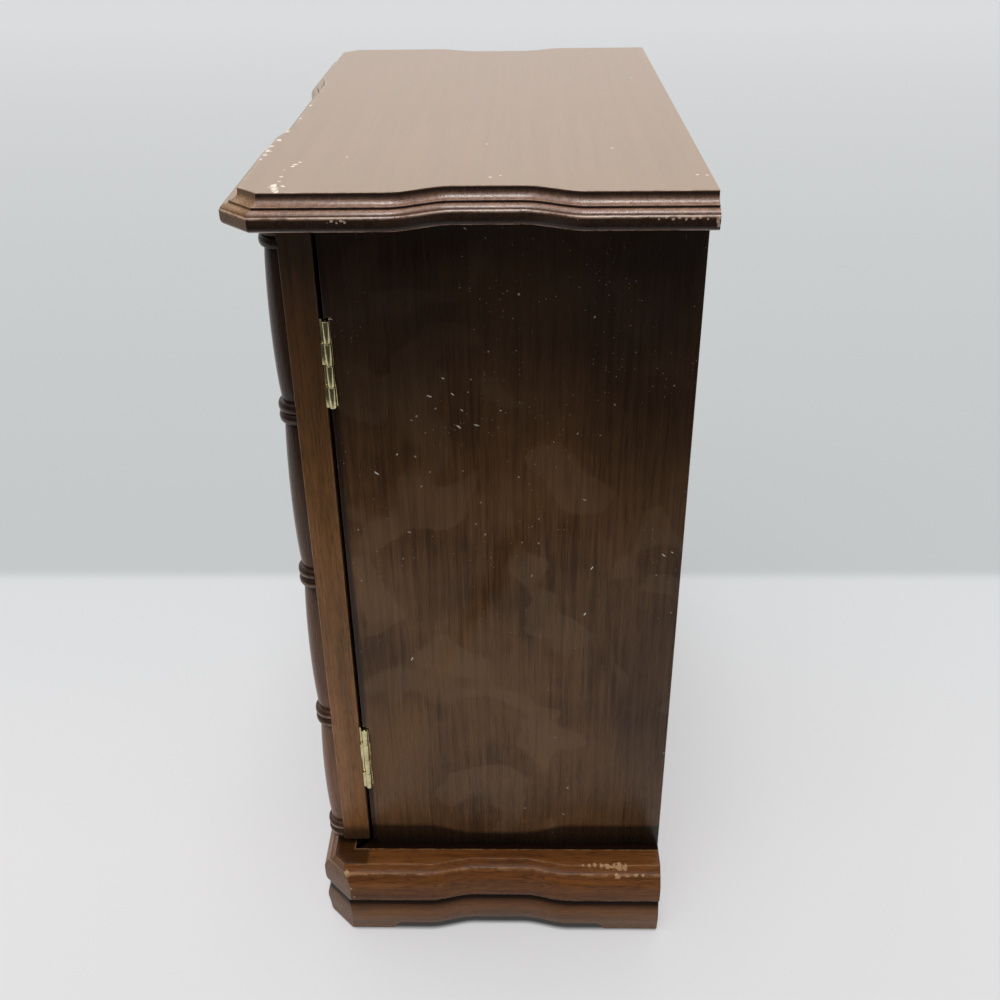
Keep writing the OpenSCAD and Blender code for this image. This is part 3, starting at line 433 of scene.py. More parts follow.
WOOD_TOP = lacquered_wood(
    "stained_top", "x", "#967658", "#8f7254", amber="#8f6a40", bare="#efe0cb", gloss=0.31, grain=0.04,
    dust=("XY", -0.1, 0.3), marks=TOP_CHIPS, relief=0.006)
WOOD_TOP_END = lacquered_wood(
    "stained_top_end", "", "#a3775c", "#694431", amber="#9a6641", bare="#e3c3ab", gloss=0.25, lustre=0.85,
    figure=2.2, grain=0.6, marks=EDGE_CHIPS, relief=0.13)
WOOD_TOP_CANT = lacquered_wood(
    "stained_top_cant", "x", "#9c7448", "#6f4c2b", amber="#9a6a34", bare="#e3c3ab", gloss=0.36, lustre=0.25,
    figure=3.0, pool=0.45, marks=EDGE_CHIPS)
# A painted reflection of the floor makes the base's lower faces paler and greyer
BASE_STAIN = {"pale": "#83522a", "deep": "#5c3416", "amber": "#8a4d1b", "bare": "#b48c62", "gloss": 0.25,
              "lustre": 0.22, "shades": (("Z", 21, 6, 0.28, FLOOR_SHEEN),)}
WOOD_BASE_SIDE = lacquered_wood("stained_base_side", "y", marks=BASE_CHIPS, **BASE_STAIN)
WOOD_BASE_FRONT = lacquered_wood("stained_base_front", "x", **BASE_STAIN)
WOOD_BASE_END = lacquered_wood(
    "stained_base_end", "", "#805a3a", "#573921", amber="#7c4f2a", bare="#c09a78", gloss=0.32, lustre=0.3,
    figure=2.2, grain=0.5, marks=BASE_CHIPS, relief=0.08)
# Painted shade darkens the side panel towards its top, its back edge and the door gap at its front edge
WOOD_SIDE = lacquered_wood(
    "stained_side", "z", "#7a5738", "#4f351f", amber="#80552c", gloss=0.26, lustre=0.2, figure=2.4,
    grain=0.4, mottle=1.5, haze=0.17, dust=("YZ", 195, 0.9),
    shades=(("Z", 214, 334, 0.79, SHADE_TONE), ("Y", 30, 88, 0.3, SHADE_TONE),
            ("Y", -53.4, -55.2, 0.85, SHADE_TONE)),
    skirt=(56.5, 5.0))
# Painted shade darkens the stiles towards the top and in a band just above the base
WOOD_STILE = lacquered_wood(
    "stained_stile", "z", "#a87244", "#74502a", amber="#a86c30", gloss=0.33, lustre=0.3, grain=0.6,
    shades=(("Z", 200, 365, 0.8, SHADE_TONE), ("Z", 57, 51, 0.75, SHADE_TONE)))
# Painted shade darkens the turnings towards the top
WOOD_TURNED = lacquered_wood(
    "stained_turning", "z", "#8f644a", "#5c3d29", amber="#8d5a30", gloss=0.24, lustre=0.3, grain=0.5,
    shades=(("Z", 110, 330, 0.85, SHADE_TONE),))
WOOD_RAIL = lacquered_wood(
    "stained_rail", "x", "#835632", "#50321c", amber="#8a5626", gloss=0.30, lustre=0.4)
WOOD_PANEL = lacquered_wood(
    "stained_panel", "z", "#875a36", "#4e301c", amber="#8a5626", gloss=0.28, lustre=0.4, figure=8.0)
WOOD_INSIDE_X = lacquered_wood("thin_stain_x", "x", "#8a6848", "#62462f", gloss=0.5)
WOOD_INSIDE_Z = lacquered_wood("thin_stain_z", "z", "#8a6848", "#62462f", gloss=0.5)
PLY_BACK = bare_board("aged_plywood", "z", "#9a7c5a", "#73583c")
PINE = bare_board("aged_pine", "x", "#a78a66", "#7d6143")
FELT = wool_felt("wine_felt", "#7a2430", "#4f141d")
BRASS = worn_metal("aged_brass", "#c9a961", "#8d7440", 0.24)
OLD_BRASS = worn_metal("tarnished_brass", "#f2e8c0", "#b0a468", 0.14, spread=1.2)
STEEL = worn_metal("zinc_plate", "#c2c2be", "#8f8f8a", 0.32)
HOUSING = moulded_plastic("brown_styrene", "#3c2b21")


# Mouldings

def dip(s, half, depth):
    """Depth of a recess at distance s from its middle, level there and eased at both ends."""
    if abs(s) >= half:
        return 0.0
    if abs(s) <= half - DIP_RUN:
        return depth
    return depth * (1 + math.cos(math.pi * (abs(s) - half + DIP_RUN) / DIP_RUN)) / 2


# Samples over the eased end of a recess
STOPS = 20


def stops(middle, half):
    """Places along an edge where its recess is sampled, in rising order."""
    ease = [half - DIP_RUN * i / STOPS for i in range(STOPS + 1)]
    return sorted({round(middle + sign * s, 4) for s in ease for sign in (-1, 1)})


MITRE = math.sqrt(2) - 1


def top_plan(out):
    """Outline of the top, out from its upper outline, from the right back corner round to the left one."""
    half = [(TOP_HALF + out, BACK_Y)]
    half += [(TOP_HALF + out - dip(y - SIDE_MID, SIDE_DIP_HALF, TOP_SIDE_DIP), y)
             for y in reversed(stops(SIDE_MID, SIDE_DIP_HALF))]
    half += [(TOP_HALF + out, TOP_FRONT + TOP_CANT - MITRE * out),
             (TOP_HALF - TOP_CANT + MITRE * out, TOP_FRONT - out)]
    half += [(x, TOP_FRONT - out + dip(x, FRONT_DIP_HALF, TOP_FRONT_DIP))
             for x in reversed(stops(0, FRONT_DIP_HALF)) if x > 0]
    return half + [(-x, y) for x, y in reversed(half)]


def arc(start, end, steps, first_down):
    """Quarter of an ellipse between two profile points, leaving the first straight down or straight out."""
    turn = [math.pi / 2 * i / steps for i in range(steps + 1)]
    run, drop = end[0] - start[0], end[1] - start[1]
    if first_down:
        return [(start[0] + run * (1 - math.cos(a)), start[1] + drop * math.sin(a)) for a in turn]
    return [(start[0] + run * math.sin(a), start[1] + drop * (1 - math.cos(a))) for a in turn]


# Top profile: out from the upper outline, down from the face, share of rubbed finish and painted glint, and
# of painted shade
# The fillet under the upper arris, the quirk and the undercut face carry painted shade
TOP_PROFILE = [(-1.5, 0, 0.0, 0.0), (-0.35, 0, 0.2, 0.0), (-0.08, 0.08, 0.4, 0.0), (0.08, 0.3, 0.0, 0.7),
               (0.12, 0.6, 0.0, 0.9), (0.14, 1.35, 0.0, 0.9)]
TOP_PROFILE += [(o, d, 0.0, pool) for (o, d), pool in
                zip(arc((0.16, 1.4), (3.15, 4.15), 8, True), (0.85, 0.6, 0.3, 0.1, 0, 0, 0, 0, 0))]
TOP_PROFILE += [(3.3, 4.25, 0.25, 0.1), (3.38, 4.45, 0.0, 0.9), (3.4, 5.05, 0.0, 1.0)]
TOP_PROFILE += [(o, d, 0.0, pool) for (o, d), pool in
                zip(arc((3.55, 5.12), (6.5, 6.75), 8, False), (0.8, 0.1, 0, 0, 0, 0.1, 0.2, 0.3, 0.2))]
# The lower arris is rubbed pale and also carries a painted highlight; the pale line at the face's lower edge
# is a painted reflection of the floor
TOP_PROFILE += [(6.75, 6.98, 0.5, 0.0), (6.95, 7.18, 1.0, 0.0), (7.0, 7.45, 0.4, 0.3), (7.0, 7.9, 0.0, 0.8),
                (6.98, 10.4, 0.0, 0.9), (6.75, 11.4, 0.0, 0.9), (6.5, 11.75, 0.0, 0.6),
                (6.2, 12.1, 0.55, 0.2), (5.85, 12.4, 0.4, 0.2), (5.4, 12.5, 0.0, 0.8),
                (4.2, 12.5, 0.0, 0.8)]


def make_top():
    outline = top_plan(0)
    count = len(outline)
    rings = [[(x, y, HEIGHT - drop) for x, y in top_plan(out)] for out, drop, *_ in TOP_PROFILE]
    # End grain shows on the sides from the upper arris down, and grain cut at a slant on the cants
    last = 2 + len(stops(SIDE_MID, SIDE_DIP_HALF))
    cants = (last - 1, count - 1 - last)
    around = [*range(last), *range(count - 1 - last, count - 1)]
    patches = {ring * count + cell: 2 if cell in cants else 1
               for ring in range(2, len(TOP_PROFILE) - 1) for cell in around}
    top = lofted(rings, ring_shares(TOP_PROFILE, count + 1), patches)
    smooth(top)
    dress(top, "top_board_moulded", [WOOD_TOP, WOOD_TOP_END, WOOD_TOP_CANT], ["top_board"])


# Base profile: out from the widest face, height, share of rubbed finish and of painted shade
# The ledge by the case holds a painted contact shadow, and the groove low on the face painted shade
BASE_PROFILE = [
    (-19.6, 42.0, 0.0, 1.0), (-16.7, 42.0, 0.0, 1.0), (-16.3, 42.0, 0.5, 0.3), (-15.8, 42.0, 0.0, 0.25),
    (-9.0, 42.0, 0.0, 0.2), (-6.75, 42.0, 0.0, 0.1), (-6.5, 41.9, 0.35, 0.0), (-6.3, 41.6, 0.1, 0.0),
    (-5.9, 40.9, 0.0, 0.15), (-5.0, 39.7, 0.0, 0.2), (-4.0, 38.9, 0.0, 0.15), (-3.5, 38.65, 0.3, 0.0),
    (-3.15, 38.4, 0.6, 0.0), (-2.95, 38.0, 0.3, 0.0), (-2.6, 37.1, 0.0, 0.1), (-1.9, 35.9, 0.0, 0.0),
    (-1.2, 34.8, 0.0, 0.0), (-0.65, 33.6, 0.0, 0.0), (-0.25, 32.3, 0.0, 0.0), (-0.02, 31.2, 0.0, 0.0),
    (0.0, 29.8, 0.0, 0.0), (0.0, 27.5, 0.0, 0.0), (-0.03, 25.2, 0.0, 0.0), (-0.25, 23.4, 0.0, 0.0),
    (-0.75, 22.3, 0.7, 0.0), (-1.5, 21.7, 0.1, 0.6), (-2.3, 21.4, 0.0, 1.0), (-2.6, 20.6, 0.0, 1.0),
    (-2.6, 19.0, 0.0, 1.0), (-2.25, 18.3, 0.0, 0.9), (-1.7, 17.2, 0.0, 0.45), (-1.1, 15.0, 0.0, 0.1),
    (-0.5, 12.8, 0.0, 0.0), (-0.2, 10.9, 0.0, 0.0), (-0.25, 9.0, 0.0, 0.0), (-0.6, 7.2, 0.0, 0.0),
    (-0.95, 5.6, 0.0, 0.0), (-1.25, 4.0, 0.0, 0.0), (-1.5, 2.4, 0.1, 0.0), (-1.75, 0.7, 0.2, 0.0),
    (-2.2, 0.0, 0.2, 0.0)]
# The ledge stays straight further in than STRAIGHT_OUT, and the first LEDGE points of the profile lie on it
STRAIGHT_OUT, LEDGE = -15, 6
BASE_FACES = range(LEDGE + 1, len(BASE_PROFILE) - 1)
BASE_IN_X, BASE_IN_Y = BASE_HALF - BASE_T, BASE_FRONT + BASE_T
BASE_MITRE = (BASE_HALF - BASE_CANT / 2, BASE_FRONT + BASE_CANT / 2)
SQUARE_Y, SQUARE_X = max(SIDE_MID - FOOT_SIDE, BASE_IN_Y + 2), min(FOOT_FRONT, BASE_IN_X - 2)


def foot_gap(s, half):
    """Height of the cut-out between the feet at distance s from its middle."""
    return FOOT_H * math.sin(math.pi / 2 * min(1, max(0, half - abs(s)) / FOOT_ROUND))


def base_ring(place, inner, gap):
    """One section of a base moulding. place turns a distance out into a point of the plan."""
    ring = [(*place(out), max(z, gap)) for out, z, *_ in BASE_PROFILE]
    return ring + [(*inner, gap), (*inner, BASE_H)]


def base_shares(corners):
    """Shares for a base moulding. corners marks the sections near a corner, whose ledge has painted shade."""
    # The ledge's inner part, under the case, is wholly in painted shade
    rows = [*BASE_PROFILE, (0, 0, 0, 0), (0, 0, 0, 1.0), BASE_PROFILE[0]]
    pooled = [max(row[3], 0.75) if corner and i < LEDGE else row[3]
              for corner in corners for i, row in enumerate(rows)]
    return {"wear": [row[2] for _ in corners for row in rows], "pooled": pooled}


def cut_back(out):
    """The lower steps of the cants stand out less than those of the sides, so the cants widen there."""
    return max(0.0, out + CANT_STEP)


def side_corner(out):
    return BASE_HALF + out, BASE_FRONT + BASE_CANT - out * MITRE + cut_back(out)


def front_corner(out):
    return BASE_HALF - BASE_CANT + out * MITRE - cut_back(out), BASE_FRONT - out


def cant_middle(out):
    (x0, y0), (x1, y1) = side_corner(out), front_corner(out)
    return (x0 + x1) / 2, (y0 + y1) / 2


def foot_stops(middle, half):
    return {middle + sign * (half - FOOT_ROUND * share)
            for sign in (-1, 1) for share in (0, 0.12, 0.3, 0.6, 1)}


def make_base_side(left):
    # Sections at the door's back face bound the painted shade on the ledge under the doors
    ys = sorted({BACK_Y, DOOR_BACK + 1, DOOR_BACK - 1, *stops(SIDE_MID, SIDE_DIP_HALF),
                 *foot_stops(SIDE_MID, FOOT_SIDE)}, reverse=True)
    rings = []
    for y in ys:
        recess = dip(y - SIDE_MID, SIDE_DIP_HALF, BASE_DIP)
        back = y if y >= SQUARE_Y else (
            SQUARE_Y + (y - SQUARE_Y) * (SQUARE_Y - BASE_IN_Y) / (SQUARE_Y - BASE_MITRE[1]))
        rings.append(base_ring(lambda out: (BASE_HALF + out - (recess if out > STRAIGHT_OUT else 0), y),
                               (BASE_IN_X, back), foot_gap(y - SIDE_MID, FOOT_SIDE)))
    rings.append(base_ring(side_corner, (BASE_IN_X, BASE_IN_Y + 1), 0))
    rings.append(base_ring(cant_middle, (BASE_IN_X, BASE_IN_Y), 0))
    around = len(rings[0])
    ends = {(len(rings) - 2) * around + face: 1 for face in BASE_FACES}
    if left:
        rings = [[(-x, y, z) for x, y, z in ring] for ring in rings]
    piece = lofted(rings, base_shares([y < DOOR_BACK for y in ys] + [True, True]), ends)
    smooth(piece)
    side = "left" if left else "right"
    dress(piece, f"base_side_{side}_moulded", [WOOD_BASE_SIDE, WOOD_BASE_END], [f"base_side_{side}"])


def make_base_front():
    xs = sorted({*stops(0, FRONT_DIP_HALF), *foot_stops(0, FOOT_FRONT)}, reverse=True)
    half = [base_ring(cant_middle, (BASE_IN_X, BASE_IN_Y), 0),
            base_ring(front_corner, (BASE_IN_X - 1, BASE_IN_Y), 0)]
    run = []
    for x in xs:
        past = max(0, abs(x) - SQUARE_X)
        inner = x if not past else math.copysign(SQUARE_X + past * 0.4, x)
        run.append(base_ring(lambda out: (x, BASE_FRONT - out + dip(x, FRONT_DIP_HALF, BASE_DIP)),
                             (inner, BASE_IN_Y), foot_gap(x, FOOT_FRONT)))
    rings = half + run + [[(-x, y, z) for x, y, z in ring] for ring in reversed(half)]
    around = len(rings[0])
    ends = {first * around + face: 1 for first in (0, len(rings) - 2) for face in BASE_FACES}
    piece = lofted(rings, base_shares([True] * len(rings)), ends)
    smooth(piece)
    dress(piece, "base_front_moulded", [WOOD_BASE_FRONT, WOOD_BASE_END], ["base_front"])


# Split turnings and knobs

BEAD_R, BEAD_H, SHAFT_R, SHAFT_END_R, NECK_R = 8.3, 4.7, 7.7, 6.3, 7.2
RING_ZS = (-154.0, -80.5, 0.0, 80.5, 154.0)
# A pale line just below each bead's crest
BEAD_PALE_LINE = (0.4, 1.0, 0.3)


def turned_profile():
    """Radius, height from the middle, and shares of pale bead line and of painted shade up a split turning.
    """
    points = [(NECK_R - 0.3, -DOOR_H / 2, 0.0, 1.0), (NECK_R, -DOOR_H / 2 + 0.3, 0.0, 1.0)]
    for i, ring in enumerate(RING_ZS):
        points.append((SHAFT_END_R, ring - BEAD_H - 0.15, 0.0, 0.6))
        for middle in (ring - BEAD_H / 2, ring + BEAD_H / 2):
            for k in range(13):
                a = math.pi * k / 12
                bead_line = BEAD_PALE_LINE[k - 4] if 4 <= k <= 6 else 0.0
                points.append((NECK_R + (BEAD_R - NECK_R) * math.sin(a),
                               middle - BEAD_H / 2 * math.cos(a) * 0.97, bead_line,
                               0.75 if abs(k - 5) > 1 else 0.1))
        points.append((SHAFT_END_R, ring + BEAD_H + 0.15, 0.0, 0.6))
        if i < len(RING_ZS) - 1:
            low, high = ring + BEAD_H, RING_ZS[i + 1] - BEAD_H
            for k in range(1, 24):
                t = k / 24
                swell = math.sin(math.pi * t ** 0.9) ** 0.7
                radius = SHAFT_END_R + (SHAFT_R - SHAFT_END_R) * swell
                points.append((radius, low + (high - low) * t, 0.0, 0.0))
    return points + [(NECK_R, DOOR_H / 2 - 0.3, 0.0, 1.0), (NECK_R - 0.3, DOOR_H / 2, 0.0, 1.0)]


def make_turning(left):
    steps = 24
    profile = turned_profile()
    side = -1 if left else 1
    rings = [[(side * (TURNING_X + r * math.cos(math.pi * k / steps)),
               DOOR_FRONT - r * math.sin(math.pi * k / steps), DOOR_MID + z)
              for k in range(steps + 1)] for r, z, *_ in profile]
    piece = lofted(rings, ring_shares(profile, steps + 2))
    smooth(piece, 40)
    name = "left" if left else "right"
    dress(piece, f"{name}_turning", [WOOD_TURNED], [f"{name}_pilaster"])


# Knob profile: radius, distance out from the door
KNOB_PROFILE = [
    (5.6, 0.0), (6.0, 0.25), (6.0, 0.9), (5.7, 1.15), (5.0, 1.4), (4.3, 1.8), (3.8, 2.4), (3.45, 3.2),
    (3.2, 4.3), (3.15, 5.2), (3.3, 6.2), (3.55, 6.75), (3.9, 6.95), (4.0, 7.2), (3.95, 7.5), (4.3, 8.0),
    (5.1, 8.7), (5.9, 9.6), (6.5, 10.6), (6.9, 11.6), (7.0, 12.4), (6.75, 13.4), (6.1, 14.4), (5.0, 15.2),
    (3.6, 15.7), (2.0, 15.93), (0.6, 16.0)]


def make_knob(left):
    steps = 40
    x0 = -KNOB_X if left else KNOB_X
    rings = [[(x0 + r * math.cos(2 * math.pi * k / steps), DOOR_FRONT - out,
               DOOR_MID + r * math.sin(2 * math.pi * k / steps))
              for k in range(steps)] for r, out in KNOB_PROFILE]
    piece = lofted(rings)
    smooth(piece, 50)
    name = "left" if left else "right"
    dress(piece, f"{name}_knob_turned", [BRASS], [f"{name}_knob"])


# Hinges and screws

def block(low, high, edge):
    """A plate between two corners, its edges eased."""
    size = [b - a for a, b in zip(low, high)]
    put_down()
    bpy.ops.mesh.primitive_cube_add(size=1, location=[(a + b) / 2 * MM for a, b in zip(low, high)],
                                    scale=[s * MM for s in size])
    piece = bpy.context.object
    bpy.ops.object.transform_apply(location=True, rotation=True, scale=True)
    whole_mesh(piece)
    bpy.ops.mesh.bevel(offset=edge * MM, segments=2, affect="EDGES")
    put_down()
    return piece


def rod(centre, radius, height, edge, sides=32):
    """An upright rod with eased ends."""
    put_down()
    bpy.ops.mesh.primitive_cylinder_add(vertices=sides, radius=radius * MM, depth=height * MM,
                                        location=[c * MM for c in centre])
    piece = bpy.context.object
    bpy.ops.object.transform_apply(location=True, rotation=True, scale=True)
    apply_modifier(piece, "BEVEL", width=edge * MM, segments=3, limit_method="ANGLE",
                   angle_limit=math.radians(60))
    return piece


def joined(pieces):
    pick_up(pieces[0])
    for piece in pieces:
        piece.select_set(True)
    bpy.ops.object.join()
    return bpy.context.object


def make_leaf(left, upper, on_case):
    z0 = DOOR_MID + (HINGE_OFF if upper else -HINGE_OFF) - HINGE_H / 2
    step = HINGE_H / 4
    plate_x1 = HINGE_X - KNUCKLE_R - SLACK
    y1 = HINGE_Y + KNUCKLE_R + SLACK if on_case else DOOR_BACK + LEAF_T
    y0 = y1 - LEAF_T
    root = (HINGE_Y + KNUCKLE_R / 2, y1) if on_case else (y0, HINGE_Y - KNUCKLE_R / 2)
    parts = [block((HINGE_X - LEAF_W, y0, z0), (plate_x1, y1, z0 + HINGE_H), 0.12)]
    for k in ((1, 3) if on_case else (0, 2)):
        low, tall = z0 + k * step + KNUCKLE_GAP, step - 2 * KNUCKLE_GAP
        parts.append(rod((HINGE_X, HINGE_Y, low + tall / 2), KNUCKLE_R, tall, 0.22))
        parts.append(block((plate_x1 - 0.2, root[0], low), (HINGE_X, root[1], low + tall), 0.1))
    leaf = joined(parts)
    smooth(leaf, 40)
    if left:
        leaf.data.transform(Matrix.Diagonal((-1, 1, 1, 1)))
        leaf.data.flip_normals()
    side, level = "left" if left else "right", "upper" if upper else "lower"
    kind = "case_leaf" if on_case else "door_leaf"
    dress(leaf, f"{side}_{level}_{kind}_bent", [OLD_BRASS], [f"{side}_{level}_{kind}"])


def make_pin(left, upper):
    z = DOOR_MID + (HINGE_OFF if upper else -HINGE_OFF)
    pin = rod((-HINGE_X if left else HINGE_X, HINGE_Y, z), PIN_R, HINGE_H, 0.3, 24)
    smooth(pin, 50)
    side, level = "left" if left else "right", "upper" if upper else "lower"
    dress(pin, f"{side}_{level}_pin_headed", [OLD_BRASS], [f"{side}_{level}_hinge_pin"])


def screw(head_r, head_h, shank_r, length):
    """A slotted screw, its head's rim at the origin, pointing down."""
    profile = [(0.15, 0.0), (head_r * 0.55, 0.0), (head_r * 0.9, 0.0), (head_r, -0.08), (shank_r, -head_h),
               (shank_r, -length + shank_r), (0.15, -length)]
    piece = spun(profile, 32)
    slot_w, slot_d = 0.24 * head_r, 0.4 * head_h
    put_down()
    bpy.ops.mesh.primitive_cube_add(size=1, location=(0, 0, (0.5 - slot_d / 2) * MM),
                                    scale=(slot_w * MM, 3 * head_r * MM, (slot_d + 1.0) * MM))
    cutter = bpy.context.object
    apply_modifier(piece, "BOOLEAN", object=cutter, operation="DIFFERENCE", solver="EXACT")
    bpy.data.objects.remove(cutter)
    smooth(piece, 35)
    return piece


def screw_set(name, kinds, replaced, finish):
    """Copies of screws at their places, as one piece. kinds lists a screw with its places and directions."""
    parts = []
    for template, places in kinds:
        for n, (spot, way) in enumerate(places):
            mesh = template.data.copy()
            turn = Vector(way).to_track_quat("-Z", "Y").to_matrix().to_4x4()
            spin = Matrix.Rotation(math.radians(37 * n % 180 + 11), 4, "Z")
            mesh.transform(Matrix.Translation(Vector(spot) * MM) @ turn @ spin)
            parts.append(linked(name, mesh))
    piece = joined(parts)
    dress(piece, name, [finish], [replaced])


def make_brads():
    """Flat-headed brads, three columns of five, driven flush into the back panel."""
    profile = [(0.1, 0.0), (1.05, -0.02), (1.26, -0.12), (BRAD_HEAD_R, -0.3), (1.15, -0.58), (0.6, -0.6),
               (0.6, -11.6), (0.1, -13.0)]
    brad = spun(profile, 16)
    smooth(brad, 50)
    low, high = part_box("back_brads")
    columns = [(low[0] + BRAD_HEAD_R * MM) / MM, 0.0, (high[0] - BRAD_HEAD_R * MM) / MM]
    foot, head = low[2] / MM + BRAD_HEAD_R, high[2] / MM - BRAD_HEAD_R
    spots = [((x, BACK_Y, foot + (head - foot) * row / 4), (0, -1, 0)) for x in columns for row in range(5)]
    screw_set("back_brads_driven", [(brad, spots)], "back_brads", STEEL)
    bpy.data.objects.remove(brad)


def make_screws():
    small, large, machine = (screw(1.9, 1.0, 1.0, 8.0), screw(3.5, 2.2, 1.8, 18.0),
                             screw(2.8, 1.8, 1.5, DOOR_T + 8.0))
    levels = [DOOR_MID + s * HINGE_OFF + t * LEAF_SCREW_OFF for s in (-1, 1) for t in (-1, 1)]
    case_y = HINGE_Y + KNUCKLE_R + SLACK - LEAF_T
    in_case, in_top = [], []
    for side in (-1, 1):
        in_case += [((side * LEAF_SCREW_X, case_y, z), (0, 1, 0)) for z in levels]
        in_case += [((side * (CATCH_X + s * CATCH_SCREW_OFF), CASE_FRONT + 7.5, CEILING - 1.5), (0, 0, 1))
                    for s in (-1, 1)]
        in_top += [((side * TOP_SCREW_X, y, CEILING), (0, 0, 1))
                   for y in (CASE_FRONT + TOP_SCREW_IN, CASE_BACK - TOP_SCREW_IN)]
        name = "left" if side < 0 else "right"
        in_door = [((side * LEAF_SCREW_X, DOOR_BACK + LEAF_T, z), (0, -1, 0)) for z in levels]
        in_door.append(((side * CATCH_X, DOOR_BACK + 0.8, STRIKE_Z), (0, -1, 0)))
        screw_set(f"{name}_door_screws_slotted", [(small, in_door)], f"{name}_door_screws", BRASS)
        behind_knob = [((side * KNOB_X, DOOR_BACK, DOOR_MID), (0, -1, 0))]
        screw_set(f"{name}_knob_screw_slotted", [(machine, behind_knob)], f"{name}_knob_screw", STEEL)
    screw_set("case_screws_slotted", [(small, in_case)], "case_screws", BRASS)
    screw_set("top_screws_slotted", [(large, in_top)], "top_screws", STEEL)
    for template in (small, large, machine):
        bpy.data.objects.remove(template)


# Boards: the CAD solid with its arrises eased, and rubbed where they are

EASED_RUB = 0.5


def eased(node, edge, finish):
    piece = linked(node + "_eased", frame["nodes"][node].data.copy())
    whole_mesh(piece)
    bpy.ops.mesh.remove_doubles(threshold=1e-6)
    bpy.ops.mesh.dissolve_limited(angle_limit=math.radians(1))
    put_down()
    piece.data.materials.clear()
    piece.data.materials.append(finish)
    piece.data.materials.append(None)
    apply_modifier(piece, "BEVEL", width=edge * MM, segments=2, limit_method="ANGLE",
                   angle_limit=math.radians(40), material=1, use_clamp_overlap=True)
    rubbed_and_glint = piece.data.attributes.new("wear", "FLOAT", "FACE")
    rubbed_and_glint.data.foreach_set("value", [EASED_RUB if p.material_index == 1 else 0.0
                                      for p in piece.data.polygons])
    smooth(piece)
    dress(piece, node + "_eased", [finish], [node])


make_top()
make_base_front()
for left in (True, False):
    make_base_side(left)
    make_turning(left)
    make_knob(left)
    for upper in (True, False):
        make_pin(left, upper)
        for on_case in (True, False):
            make_leaf(left, upper, on_case)
make_screws()
make_brads()

BOARDS = {
    "side_panel_left": (0.4, WOOD_SIDE), "side_panel_right": (0.4, WOOD_SIDE), "back_panel": (0.3, PLY_BACK),
    "base_back_rail": (0.6, PINE), "base_corner_blocks": (0.5, PINE), "floor_panel": (0.3, WOOD_INSIDE_X),
    "inner_top": (0.3, WOOD_INSIDE_X), "partition": (0.4, WOOD_INSIDE_Z),
    "left_lower_shelf": (0.6, WOOD_INSIDE_X), "left_upper_shelf": (0.6, WOOD_INSIDE_X),
    "right_shelf": (0.6, WOOD_INSIDE_X), "peg_rail": (0.8, WOOD_RAIL), "left_catch": (0.3, HOUSING),
    "right_catch": (0.3, HOUSING), "left_strike": (0.12, STEEL), "right_strike": (0.12, STEEL)}
for side in ("left", "right"):
    BOARDS |= {f"{side}_outer_stile": (0.5, WOOD_STILE), f"{side}_inner_stile": (0.5, WOOD_STILE),
               f"{side}_top_rail": (0.3, WOOD_RAIL), f"{side}_bottom_rail": (0.3, WOOD_RAIL),
               f"{side}_door_panel": (0.25, WOOD_PANEL)}
for node, (edge, finish) in BOARDS.items():
    eased(node, edge, finish)

for node, piece in frame["nodes"].items():
    if not piece.hide_render:
        piece.data.materials.clear()
        piece.data.materials.append(FELT if "felt" in node else BRASS)


# Floor, light and camera

# The floor's side in metres, the line on it where its tone turns, and over what distance
FLOOR_SIZE, TONE_LINE, TONE_BLUR = 24, -160, 18


